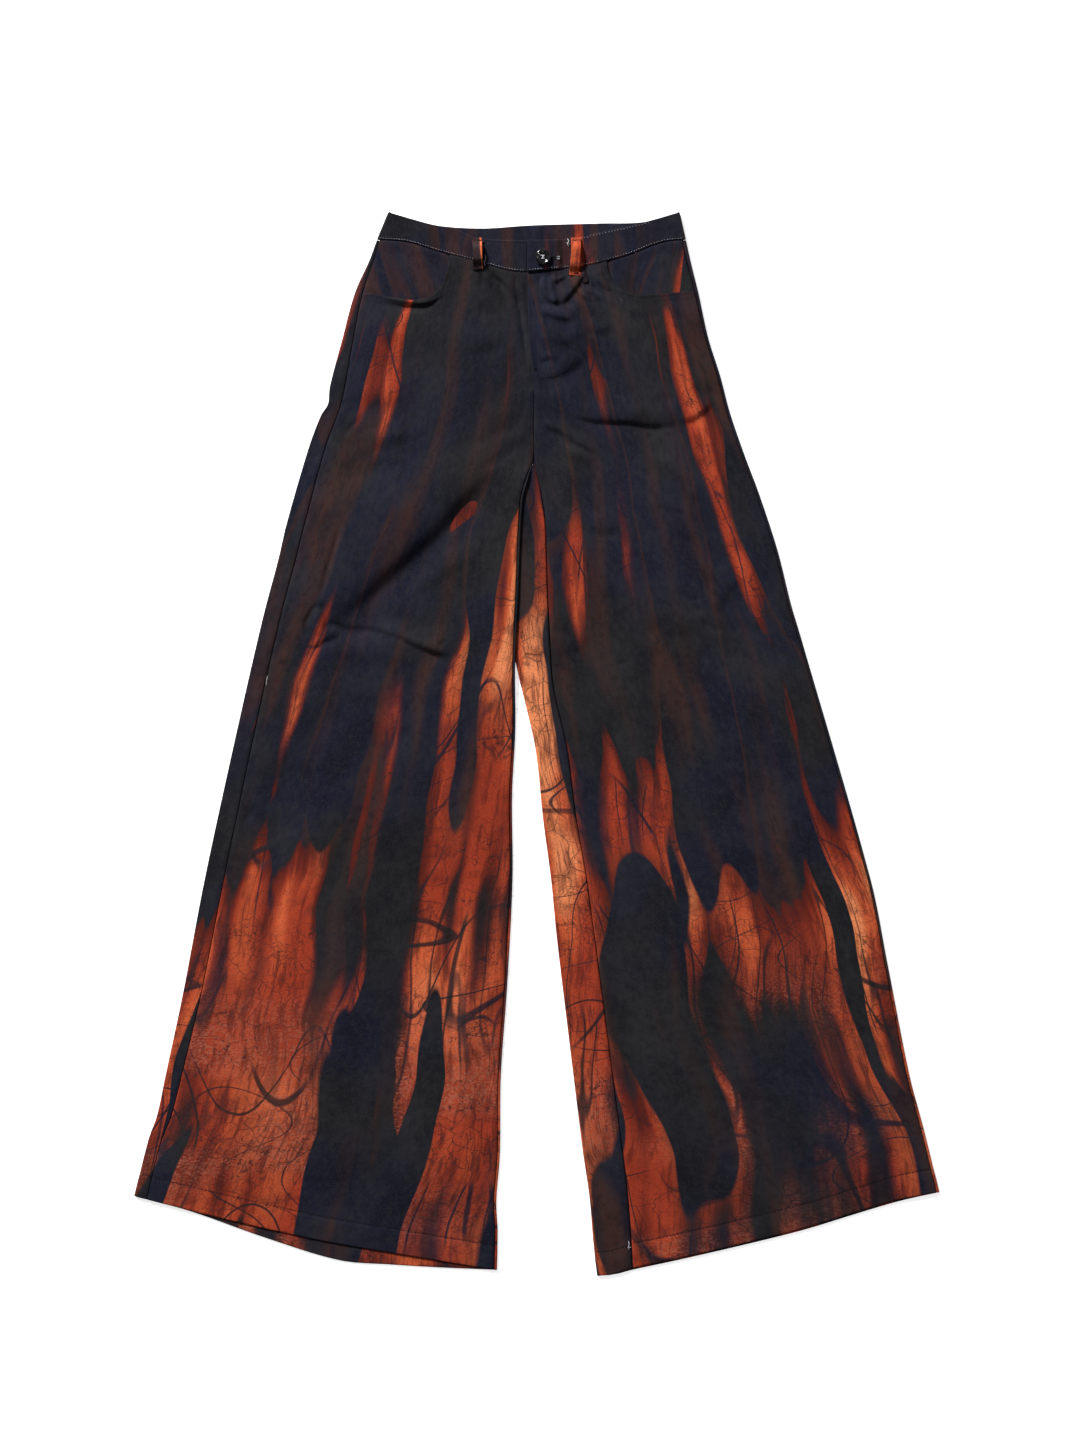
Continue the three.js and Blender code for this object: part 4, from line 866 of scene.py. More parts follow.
def back_panel(side_name, material):
    leg = legs[side_name]
    outer, inner = shared_rows(leg)
    top = np.concatenate([[0, 0.02, 0.05, 0.1, 0.16], np.linspace(0.24, 1, 12, endpoint=False)])
    outer = np.concatenate([lerp(WAIST_LINE[0], POCKET_END[0], top), outer])[:, None]
    inner = np.concatenate([lerp(WAIST_LINE[1], POCKET_END[1], top), inner])[:, None]
    ones = np.ones_like(outer)
    wall = WALL
    columns = []

    def add(x, down, z):
        columns.append(np.concatenate([x * ones, down * ones, z * ones], axis=1))

    edge = leg.outer_edge(outer)
    low, high = wall / 2 * ones, wall * 1.5 + hollow(outer)
    turn_width = wall / 2 + (high - low) / 2
    seam = leg.outer_seam(outer)
    strip_end = edge - leg.side * turn_width
    for u in (0, 0.03, 0.08, 0.15, 0.25, 0.4, 0.6, 0.8):
        x = lerp(seam, strip_end, u)
        down = row_down(leg, outer, inner, x, "front")
        add(x, down, back_upper_level(side_name, x, down))
    for turn in np.linspace(1, 0, 9):
        add(*fold_arc(edge, outer, low, high, wall, leg.side, turn))

    # 0 above the crotch, where the panel ends flat at the centre seam, and 1 below it
    turned = smoothstep(inner, CROTCH - 3, CROTCH + 12)
    inner_edge = np.where(inner > CROTCH, leg.inner_edge(np.maximum(inner, CROTCH)), leg.side * SEAM_GAP / 2)
    lift = lap_over_leg(leg, inner_edge, inner)
    inner_low = wall / 2 + lift
    inner_high = wall * 1.5 + hollow(inner) + lift
    radius = (inner_high - inner_low) / 2
    flat_end = lerp(3.0, wall / 2 + radius, turned)
    inner_start = inner_edge + leg.side * flat_end
    for u in np.linspace(0, 1, 34)[1:]:
        x = lerp(strip_end, inner_start, u)
        down = row_down(leg, outer, inner, x, "back")
        add(x, down, lower_level(side_name, x, down))
    for turn in np.linspace(0, 1, 9)[1:]:
        arc_x, arc_down, arc_z = fold_arc(inner_edge, inner, inner_low, inner_high, wall, -leg.side, turn)
        flat_x = lerp(inner_start, inner_edge, turn)
        flat_down = row_down(leg, outer, inner, flat_x, "back")
        flat_z = lower_level(side_name, flat_x, flat_down)
        add(lerp(flat_x, arc_x, turned), lerp(flat_down, arc_down, turned), lerp(flat_z, arc_z, turned))
    strip_start = inner_edge + leg.side * (wall / 2 + radius)
    inner_seam = leg.inner_seam(np.maximum(inner, CROTCH))
    inner_seam = np.where((inner_seam - strip_start) * leg.side > 0.3, inner_seam, strip_start + leg.side * 0.3)
    for u in (0.1, 0.25, 0.4, 0.55, 0.7, 0.82, 0.91, 0.96, 1):
        x = lerp(strip_start, inner_seam, u)
        down = row_down(leg, outer, inner, x, "front")
        z = back_upper_level(side_name, x, down)
        flat_x = lerp(inner_edge, inner_edge - leg.side * 0.05, u)
        flat_down = row_down(leg, outer, inner, flat_x, "back")
        flat_z = lower_level(side_name, flat_x, flat_down) + 0.2 * u
        add(lerp(flat_x, x, turned), lerp(flat_down, down, turned), lerp(flat_z, z, turned))

    draft = np.stack(columns, axis=1)
    x, down, z = draft[..., 0], draft[..., 1], draft[..., 2]
    layer_down = np.minimum(leg.hem["back"](x), leg.inner_hem) - HEM_DEPTH
    thick = hem_thickness(down, layer_down)
    points, faces = shell(place(x, down, z), thick)
    obj = new_piece(f"cloth_back_{side_name}", points, faces, material, "printed_cloth")
    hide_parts(f"back_{side_name}")
    return obj


def pocket_facing(side_name, material):
    leg = legs[side_name]
    v = np.linspace(0, 1, 40)
    split = 4 / 5
    outer = np.where(v < split, lerp(WAIST_LINE[0], POCKET_END[0], v / split), lerp(POCKET_END[0], leg.facing_side_row[0], (v - split) / (1 - split)))
    inner = np.where(v < split, lerp(WAIST_LINE[1], POCKET_END[1], v / split), lerp(POCKET_END[1], leg.facing_side_row[1], (v - split) / (1 - split)))
    start = leg.outer_x(outer)
    start_down = row_down(leg, outer, inner, start, "front")
    end = lerp(leg.facing_top, leg.facing_corner[0], v)
    end_down = lerp(seam_line(leg.facing_top), leg.facing_corner[1], v)
    u = across_columns(start, end, 36)
    x = lerp(start[:, None], end[:, None], u)
    bend = seam_line(lerp(start[0], leg.facing_top, u)) - lerp(start_down[0], seam_line(leg.facing_top), u)
    down = lerp(start_down[:, None], end_down[:, None], u) + (1 - v[:, None]) * bend
    z = upper_level(leg, x, down) - facing_dip(leg, x, down)
    from_band = np.abs(down - seam_line(x))
    from_side = np.abs(x - leg.outer_x(down))
    mouth_top = leg.mouth[leg.mouth[:, 1].argmin()][0]
    shown = smoothstep((x - mouth_top) * leg.side, 0.5, 6)
    z = z + np.maximum(BAND_HIGH - 0.1 - z, 0) * (1 - smoothstep(from_band, 0.5, 14)) * shown
    z = z - 0.4 * np.exp(-((from_band / 1.6) ** 2)) * (1 - 0.7 * shown) - 0.4 * np.exp(-((from_side / 1.6) ** 2))
    free = smoothstep(from_band, 0, 8) * smoothstep(from_side, 0, 8)
    z = z + free * (0.2 * ripple(x, down, 16, 22, 41) + 0.1 * ripple(x, down, 6, 9, 42))
    points, faces = shell(place(x, down, z), CLOTH)
    obj = new_piece(f"cloth_pocket_facing_{side_name}", points, faces, material, "facing_cloth")
    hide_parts(f"pocket_facing_{side_name}")
    return obj


# ---------------------------------------------------------------- waistband

BAND_LOW = 1.15  # middle heights and thicknesses of the band's two layers
BAND_HIGH = 4.05
BAND_THIN = 1.3
BAND_THICK = 2.0
BAND_LIFT = 2.7
LOOP_PLACES = (-0.56, 0, 0.56)
LOOP_WIDTH = 10.4


def band_place(layer, across, v):
    top_x = across * HALF_WAIST
    bottom_x = across * np.where(np.asarray(across) < 0, 162.2, 156.8)
    top = band_edge[f"{layer}_top"](top_x)
    bottom = band_edge[f"{layer}_bottom"](bottom_x)
    return lerp(top_x, bottom_x, v), lerp(top, bottom, v)


def band_section(count):
    """The band's section: places from its top edge to its seam and back, each with the
    side of the middle that it is on, rounded at the top edge."""
    v = np.concatenate([[0, 0.006, 0.02, 0.045, 0.08], np.linspace(0.12, 0.92, count), [0.95, 0.975, 0.99, 1]])
    from_end = np.minimum(v, 1 - v) / 0.045
    round_off = np.sqrt(1 - (1 - np.clip(from_end, 0, 1)) ** 2)
    return v, round_off


def band_relief(across, v, seed):
    """Puckers along the band's two stitch lines, soft between."""
    x = across * HALF_WAIST
    stitch = np.exp(-(((v - 0.07) / 0.05) ** 2)) + np.exp(-(((v - 0.95) / 0.05) ** 2))
    return 0.10 * stitch * ripple(x, v * 30, 3.4, 9, seed) + 0.22 * ripple(x, v * 30, 26, 22, seed + 1) + 0.08 * ripple(x, v * 30, 9, 8, seed + 2)


def waistband(material):
    v, round_off = band_section(15)
    stations = []

    def station(x, down, z, nx, nz, thick, lump):
        """One section of the band: its outer face's points, then its inner face's."""
        half = thick / 2 * round_off
        out = place(x + nx * (half + lump), down, z + nz * (half + lump))
        inside = place(x - nx * half, down, z - nz * half)
        stations.append(np.concatenate([out, inside[::-1]]))

    fold = (BAND_HIGH - BAND_LOW) / 2 + BAND_THIN / 2
    flat_share = 1 - fold / HALF_WAIST
    start = UNDERLAP_END / HALF_WAIST
    lap_start = (UNDERLAP_END + 1) / HALF_WAIST
    lap_end = OVERLAP_END / HALF_WAIST

    def front(across, lift, end_round=1.0):
        x, down = band_place("front", across, v)
        lump = band_relief(across, v, 51) * end_round
        station(x, down, BAND_HIGH + lift, 0, 1, BAND_THICK * end_round, lump)

    def back(across):
        x, down = band_place("back", across, v)
        over_loop = max(float(1 - smoothstep(abs(across - p) * HALF_WAIST, LOOP_WIDTH / 2 + 0.3, LOOP_WIDTH / 2 + 3)) for p in LOOP_PLACES)
        on_loop = smoothstep(v, 0.02, 0.08) * (1 - smoothstep(v, 0.93, 0.98)) * over_loop
        station(x, down, BAND_LOW + 0.8 * on_loop, 0, -1, BAND_THIN, 0 * v)

    def corner(side, turn):
        x, down = band_place("back", side, v)
        wall = lerp(BAND_THIN, BAND_THICK, turn)
        radius = (BAND_HIGH - BAND_LOW) / 2
        angle = math.radians(lerp(-90, 90, turn))
        centre = x - side * (BAND_THIN / 2 + radius + 0.3)
        station(centre + math.cos(angle) * side * radius, down, (BAND_LOW + BAND_HIGH) / 2 + math.sin(angle) * radius,
                math.cos(angle) * side, math.sin(angle), wall, 0 * v)

    for step, end_round in ((0, 0.3), (0.4, 0.75), (1.0, 1.0)):
        front((UNDERLAP_END - step) / HALF_WAIST, 0, end_round)
    for across in np.linspace(start - 3 / HALF_WAIST, -0.992 * flat_share, 90):
        front(across, 0)
    for turn in np.linspace(1, 0, 11):
        corner(-1, turn)
    for across in np.linspace(-0.992 * flat_share, 0.992 * flat_share, 150):
        back(across)
    for turn in np.linspace(0, 1, 11):
        corner(1, turn)
    for across in np.linspace(0.992 * flat_share, lap_end + 3 / HALF_WAIST, 90):
        front(across, BAND_LIFT * (1 - smoothstep(across * HALF_WAIST, UNDERLAP_END + 1, UNDERLAP_END + 8)))
    for step, end_round in ((1.2, 1.0), (0.4, 0.75), (0, 0.3)):
        front((OVERLAP_END + step) / HALF_WAIST, BAND_LIFT, end_round)

    rows, across = len(stations), len(stations[0])
    points = np.concatenate(stations)
    index = np.arange(rows * across).reshape(rows, across)
    a, d = index[:-1], index[1:]
    faces = [list(q) for q in np.stack([a, np.roll(a, -1, axis=1), np.roll(d, -1, axis=1), d], axis=2).reshape(-1, 4)]
    half = across // 2
    for ring, flip in ((index[0], True), (index[-1], False)):
        for i in range(half - 1):
            quad = [ring[i], ring[i + 1], ring[across - 2 - i], ring[across - 1 - i]]
            faces.append(quad[::-1] if flip else quad)
    obj = new_piece("cloth_waistband", points, faces, material, "printed_cloth")
    face_outwards(obj)
    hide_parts("waistband")
    return obj


def face_outwards(obj):
    work = bmesh.new()
    work.from_mesh(obj.data)
    bmesh.ops.recalc_face_normals(work, faces=work.faces)
    if work.calc_volume(signed=True) < 0:
        bmesh.ops.reverse_faces(work, faces=work.faces)
    work.to_mesh(obj.data)
    work.free()


# ---------------------------------------------------------------- belt loops

FRONT_LOOPS = {
    "right": {"across": -0.372, "turn": 3},
    "left": {"across": 0.277, "turn": -2},
}
LOOP = {"wall": 1.1, "foot": 3.6, "clear": 4.7, "ramp": 6.5, "past_seam": 9}
LOOP_FOOT = 5.5


def strip_piece(name, path_y, path_z, width, thick, centre, turn, material, wave=0.0):
    """A folded strip of cloth along a path of y and z, centred in the draft, turned."""
    fine = np.linspace(0, 1, 60)
    walked = np.concatenate([[0], np.cumsum(np.hypot(np.diff(path_y), np.diff(path_z)))])
    y = np.interp(fine * walked[-1], walked, path_y)
    z = np.interp(fine * walked[-1], walked, path_z)
    for _ in range(14):
        y[1:-1] = (y[:-2] + 2 * y[1:-1] + y[2:]) / 4
        z[1:-1] = (z[:-2] + 2 * z[1:-1] + z[2:]) / 4
    u = np.array([-1, -0.97, -0.9, -0.8, -0.66, -0.4, -0.12, 0, 0.12, 0.4, 0.66, 0.8, 0.9, 0.97, 1])
    edge = 0.16 * np.exp(-(((np.abs(u) - 0.72) / 0.09) ** 2))
    # narrower in its middle, with its corners rounded off
    waisted = 1 - 0.07 * np.sin(np.pi * fine) - 0.16 * (1 - np.sqrt(1 - np.clip(1 - np.minimum(fine, 1 - fine) / 0.04, 0, 1) ** 2))
    x = u[None, :] * width / 2 * waisted[:, None] + wave * np.sin(fine * 5)[:, None]
    lift = -edge[None, :] + 0.06 * ripple(x, y[:, None], 3, 3, 61)
    angle = math.radians(turn)
    yy = np.broadcast_to(y[:, None], x.shape)
    gx = centre[0] + x * math.cos(angle) - yy * math.sin(angle)
    gy = centre[1] - (x * math.sin(angle) + yy * math.cos(angle))
    points, faces = shell(place(gx, gy, z[:, None] + lift), thick)
    return new_piece(name, points, faces, material, "loop_cloth")


def loop_tail(material):
    """The left loop's end, which shows below it: folded, rounded and leaning outwards."""
    s, t = np.meshgrid(np.linspace(0, 1, 26), np.linspace(-1, 1, 15), indexing="ij")
    wide = 3.3 * np.sqrt(np.clip(1 - np.clip((s - 0.72) / 0.285, 0, 1) ** 2, 0.002, 1))
    x = 47.6 + 6.4 * s ** 1.2 + t * wide * 0.94
    down = 57.5 + 15.5 * s - t * wide * 0.34
    z = on_front("left")(x, down) + 0.75 + 0.5 * (1 - t ** 2) + 0.5 * np.sin(np.pi * s) * (1 - 0.5 * t ** 2)
    points, faces = shell(place(x, down, z), 0.9)
    return new_piece("loop_tail", points, faces, material, "loop_cloth")


def front_loop(side_name, material):
    spec = FRONT_LOOPS[side_name]
    top_x, top_down = (float(q) for q in band_place("front", spec["across"], 0))
    bottom_x, bottom_down = (float(q) for q in band_place("front", spec["across"], 1))
    length = bottom_down - top_down + LOOP["past_seam"]
    half = length / 2
    level = LOOP_FOOT + LOOP["wall"] / 2
    y = [half, half - LOOP["foot"], half - LOOP["foot"] - LOOP["ramp"], 0, -half + LOOP["foot"] + LOOP["ramp"], -half + LOOP["foot"], -half]
    z = [level, level, level + LOOP["clear"], level + LOOP["clear"] + 0.3, level + LOOP["clear"], level, level]
    centre = ((top_x + bottom_x) / 2, top_down + half)
    obj = strip_piece(f"cloth_belt_loop_{side_name}", y, z, LOOP_WIDTH, LOOP["wall"], centre, spec["turn"], material, 0.35)
    if side_name == "left":
        obj = join(obj.name, [obj, loop_tail(material)])
    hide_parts(f"belt_loop_front_{side_name}")
    return obj


def back_loop(where, across, material):
    top_x, top_down = (float(q) for q in band_place("back", across, 0))
    bottom_x, bottom_down = (float(q) for q in band_place("back", across, 1))
    length = bottom_down - top_down - 2
    centre = ((top_x + bottom_x) / 2, (top_down + bottom_down) / 2)
    obj = strip_piece(f"cloth_belt_loop_back_{where}", [length / 2, -length / 2], [0.55, 0.55], LOOP_WIDTH, 1.0, centre, 0, material)
    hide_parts(f"belt_loop_back_{where}")
    return obj


# ---------------------------------------------------------------- button

BUTTON = {"x": 9.3, "down": 47, "radius": 8, "thick": 3, "hole_radius": 0.9, "hole_offset": 2.1, "level": 8.2}


def make_button(material):
    r, t = BUTTON["radius"], BUTTON["thick"]
    profile = [
        (0.0, 0), (0.6 * r, 0), (0.84 * r, 0.12 * t), (0.93 * r, 0.3 * t), (r, 0.55 * t), (0.995 * r, 0.72 * t),
        (0.96 * r, 0.88 * t), (0.9 * r, 0.98 * t), (0.84 * r, t), (0.78 * r, 0.97 * t), (0.7 * r, 0.84 * t),
        (0.62 * r, 0.68 * t), (0.56 * r, 0.62 * t), (0.3 * r, 0.6 * t), (0.0, 0.6 * t),
    ]
    around = 72
    work = bmesh.new()
    rings = []
    for radius, z in profile:
        if radius == 0:
            rings.append([work.verts.new((0, 0, z * MM))])
            continue
        rings.append([
            work.verts.new((radius * math.cos(a) * MM, radius * math.sin(a) * MM, z * MM))
            for a in np.linspace(0, 2 * math.pi, around, endpoint=False)
        ])
    for lower, upper in zip(rings, rings[1:]):
        for i in range(around):
            j = (i + 1) % around
            if len(lower) == 1:
                work.faces.new((lower[0], upper[j], upper[i]))
            elif len(upper) == 1:
                work.faces.new((lower[i], lower[j], upper[0]))
            else:
                work.faces.new((lower[i], lower[j], upper[j], upper[i]))
    mesh = bpy.data.meshes.new("button_disc")
    work.to_mesh(mesh)
    work.free()
    obj = bpy.data.objects.new("button_disc", mesh)
    bpy.context.collection.objects.link(obj)
    drills = []
    for i in range(4):
        angle = math.radians(45 + 90 * i)
        drill_mesh = bpy.data.meshes.new(f"drill_{i}")
        work = bmesh.new()
        bmesh.ops.create_cone(work, cap_ends=True, segments=20, radius1=BUTTON["hole_radius"] * MM,
                              radius2=BUTTON["hole_radius"] * MM, depth=3 * t * MM)
        bmesh.ops.translate(work, verts=work.verts, vec=(
            BUTTON["hole_offset"] * math.cos(angle) * MM, BUTTON["hole_offset"] * math.sin(angle) * MM, t / 2 * MM))
        work.to_mesh(drill_mesh)
        work.free()
        drill = bpy.data.objects.new(f"drill_{i}", drill_mesh)
        bpy.context.collection.objects.link(drill)
        drills.append(drill)
        cut = obj.modifiers.new(f"hole_{i}", "BOOLEAN")
        cut.operation, cut.solver, cut.object = "DIFFERENCE", "EXACT", drill
    applied = bpy.data.meshes.new_from_object(obj.evaluated_get(bpy.context.evaluated_depsgraph_get()))
    obj.modifiers.clear()
    obj.data = applied
    for drill in drills:
        bpy.data.objects.remove(drill)
    corner = place(BUTTON["x"], BUTTON["down"], BUTTON["level"])
    obj.data.transform(Matrix.Translation(Vector(corner)))
    obj.data.polygons.foreach_set("use_smooth", np.ones(len(obj.data.polygons), bool))
    obj.data.materials.clear()
    obj.data.materials.append(material)
    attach(obj, "root")
    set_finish(obj, "button_plastic")
    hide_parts("button")
    return obj

# ---------------------------------------------------------------- sewing


def stitches(name, path, level, material, slot, length=2.4, gap=0.9, thick=0.5, lift=0.08, drift=0.0):
    """Separate stitches along a path of (x, down), each dipping into the cloth at its ends."""
    path = np.asarray(path, float)
    walked = np.concatenate([[0], np.cumsum(np.hypot(*np.diff(path, axis=0).T))])
    count = int((walked[-1] + gap) / (length + gap))
    random = np.random.RandomState(len(name) * 7 + count)
    starts = np.arange(count) * (length + gap) + random.uniform(-0.12, 0.12, count)
    rings, sides = 5, 6
    t = np.linspace(0, 1, rings)
    at = starts[:, None] + t * length
    x, down = np.interp(at, walked, path[:, 0]), np.interp(at, walked, path[:, 1])
    dx = np.interp(at + 0.2, walked, path[:, 0]) - np.interp(at - 0.2, walked, path[:, 0])
    dd = np.interp(at + 0.2, walked, path[:, 1]) - np.interp(at - 0.2, walked, path[:, 1])
    size = np.maximum(np.hypot(dx, dd), 1e-9)
    nx, nd = -dd / size, dx / size
    shift = random.uniform(-drift, drift, count)[:, None]
    x, down = x + nx * shift, down + nd * shift
    radius = thick / 2 * (0.45 + 0.55 * np.sin(np.pi * t)) * random.uniform(0.85, 1.1, (count, 1))
    z = level(x, down) + lift + (np.sin(np.pi * t) - 0.75) * 0.22
    points = []
    for angle in np.linspace(0, 2 * np.pi, sides, endpoint=False):
        aside, up = math.cos(angle) * radius, math.sin(angle) * radius
        points.append(place(x + nx * aside, down + nd * aside, z + up))
    points = np.stack(points, axis=2)
    index = np.arange(points[..., 0].size).reshape(count, rings, sides)
    a, b = index[:, :-1], index[:, 1:]
    walls = np.stack([a, np.roll(a, -1, axis=2), np.roll(b, -1, axis=2), b], axis=3).reshape(-1, 4)
    caps = np.concatenate([index[:, 0, ::-1], index[:, -1]])
    faces = [*walls.tolist(), *caps.tolist()]
    return new_piece(name, points.reshape(-1, 3), faces, material, slot)


def thread_tube(name, points, radius, material, slot, sides=7, soften=2):
    """A thread along draft points (x, down, z), with tapered ends."""
    p = np.array(points, float)
    fine = np.linspace(0, 1, max(12, 6 * len(p)))
    walked = np.concatenate([[0], np.cumsum(np.linalg.norm(np.diff(p, axis=0), axis=1))])
    p = np.stack([np.interp(fine * walked[-1], walked, p[:, i]) for i in range(3)], axis=1)
    for _ in range(soften):
        p[1:-1] = (p[:-2] + 2 * p[1:-1] + p[2:]) / 4
    centre = place(p[:, 0], p[:, 1], p[:, 2])
    tangent = np.gradient(centre, axis=0)
    tangent /= np.maximum(np.linalg.norm(tangent, axis=1, keepdims=True), 1e-12)
    up = np.tile([0.1, 0.2, 1.0], (len(p), 1))
    aside = np.cross(tangent, up)
    aside /= np.maximum(np.linalg.norm(aside, axis=1, keepdims=True), 1e-12)
    over = np.cross(aside, tangent)
    size = radius * MM * (0.35 + 0.65 * np.minimum(1, 12 * np.minimum(fine, 1 - fine)))
    rings = [centre + (math.cos(a) * aside + math.sin(a) * over) * size[:, None]
             for a in np.linspace(0, 2 * np.pi, sides, endpoint=False)]
    rings = np.stack(rings, axis=1)
    index = np.arange(len(p) * sides).reshape(len(p), sides)
    a, b = index[:-1], index[1:]
    faces = np.stack([a, np.roll(a, -1, axis=1), np.roll(b, -1, axis=1), b], axis=2).reshape(-1, 4).tolist()
    faces += [index[0, ::-1].tolist(), index[-1].tolist()]
    return new_piece(name, rings.reshape(-1, 3), faces, material, slot)


def join(name, objects):
    """Several small pieces as one."""
    meshes = [o.data for o in objects]
    work = bmesh.new()
    for mesh in meshes:
        work.from_mesh(mesh)
    merged = bpy.data.meshes.new(name)
    work.to_mesh(merged)
    work.free()
    merged.polygons.foreach_set("use_smooth", np.ones(len(merged.polygons), bool))
    merged.materials.append(objects[0].data.materials[0])
    slot = objects[0]["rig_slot"]
    for o in objects:
        bpy.data.objects.remove(o)
    obj = bpy.data.objects.new(name, merged)
    bpy.context.collection.objects.link(obj)
    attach(obj, "root")
    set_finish(obj, slot)
    return obj


def on_front(side_name):
    return lambda x, down: front_level(side_name, x, down) + CLOTH / 2


def band_top(x, down):
    lift = BAND_LIFT * (1 - smoothstep(x, UNDERLAP_END + 1, UNDERLAP_END + 8)) * (np.asarray(x) > OVERLAP_END)
    return BAND_HIGH + BAND_THICK / 2 + lift


def band_path(layer, v, start, end, count):
    """A line along the band at the share v of its height."""
    x, down = band_place(layer, np.linspace(start, end, count), v)
    return np.stack([x, down], axis=1)


def sew(light, dark):
    rounded = UNDERLAP_END / HALF_WAIST
    # the waistband: a light line along its seam, and another along its top edge
    for label, start, end in (("right", -0.985, -0.06), ("left", -0.03, 0.985)):
        stitches(f"stitch_band_seam_{label}", band_path("front", 0.93, start, end, 200), band_top, light, "sewing_thread",
                 length=1.5, gap=1.3, thick=0.34, drift=0.12)
    stitches("stitch_band_top_left", band_path("front", 0.07, 0.30, 0.80, 120), band_top, light, "sewing_thread",
             length=1.4, gap=1.8, thick=0.34, drift=0.12)
    stitches("stitch_band_top_right", band_path("front", 0.07, -0.97, -0.06, 160), band_top, dark, "dark_thread",
             length=2.2, gap=1.1, thick=0.45, drift=0.1)
    stitches("stitch_band_top_far", band_path("front", 0.07, 0.80, 0.985, 60), band_top, dark, "dark_thread",
             length=2.2, gap=1.1, thick=0.45, drift=0.1)
    # hems, side by side over the fronts and the strips of back panel beside them
    for side_name, leg in legs.items():
        x = np.linspace(float(leg.outer_x(leg.outer_hem - HEM_DEPTH)) - leg.side * 1.5,
                        float(leg.inner_x(leg.inner_hem - HEM_DEPTH)) + leg.side * 1.5, 200)
        hem = np.stack([x, leg.hem["front"](x) - HEM_DEPTH], axis=1)
        stitches(f"stitch_hem_{side_name}", hem, on_front(side_name), dark, "dark_thread",
                 length=2.9, gap=0.9, thick=0.75, drift=0.12)
        for where, edge, seam, hem_down in (
            ("outer", leg.outer_edge, leg.outer_seam, leg.outer_hem), ("inner", leg.inner_edge, leg.inner_seam, leg.inner_hem),
        ):
            down = hem_down - HEM_DEPTH
            a, b = float(edge(down)), float(seam(down))
            if abs(b - a) < 6:
                continue
            x = np.linspace(a + (b - a) * 2.0 / abs(b - a), b, 30)
            line = np.stack([x, leg.hem["front"](x) - HEM_DEPTH], axis=1)
            stitches(f"stitch_hem_{side_name}_{where}", line,
                     lambda x, d, s=side_name: back_upper_level(s, x, d) + CLOTH / 2, dark, "dark_thread",
                     length=2.9, gap=0.9, thick=0.75)
    # the fly: a curved line down the left front and a bar at the opening's end
    fly = spline([(46, 62), (45.5, 100), (44, 140), (36, 160), (22, 169), (3, 172)], 120)
    stitches("stitch_fly", fly, on_front("left"), dark, "dark_thread", length=2.3, gap=1.0, thick=0.45, drift=0.1)
    bar = [stitches(f"bar_{i}", [(-1.2, 160.6 + i * 0.55), (3.4, 161.0 + i * 0.55)], on_front("left"), dark, "dark_thread",
                    length=4.4, gap=1, thick=0.5, lift=0.1 * (i % 2)) for i in range(5)]
    join("bartack_fly", bar)
    # a painted shadow line: a tube of dark thread along the waistband's end where it lies on the other, standing in for
    # the shade under that edge
    edge = [(float(band_place("front", (OVERLAP_END - 0.7) / HALF_WAIST, v)[0]), float(band_place("front", (OVERLAP_END - 0.7) / HALF_WAIST, v)[1]), top)
            for v, top in zip(np.linspace(0.03, 0.97, 12), np.full(12, BAND_HIGH + BAND_THICK / 2 + 0.25))]
    thread_tube("shadow_line_band_end", edge, 0.5, dark, "dark_thread")
    # pocket mouths: two dark lines below the folded edge
    for side_name, leg in legs.items():
        mouth = leg.mouth
        direction = np.gradient(mouth, axis=0)
        direction /= np.linalg.norm(direction, axis=1, keepdims=True)
        inwards = np.stack([direction[:, 1], -direction[:, 0]], axis=1) * -leg.side
        for i, offset in enumerate((1.8, 7.0)):
            line = (mouth + inwards * offset)[4:-2]
            line = line[line[:, 1] > seam_line(line[:, 0]) + 1.5]
            stitches(f"stitch_mouth_{side_name}_{i}", line, on_front(side_name), dark, "dark_thread",
                     length=2.2, gap=1.0, thick=0.42, drift=0.08)


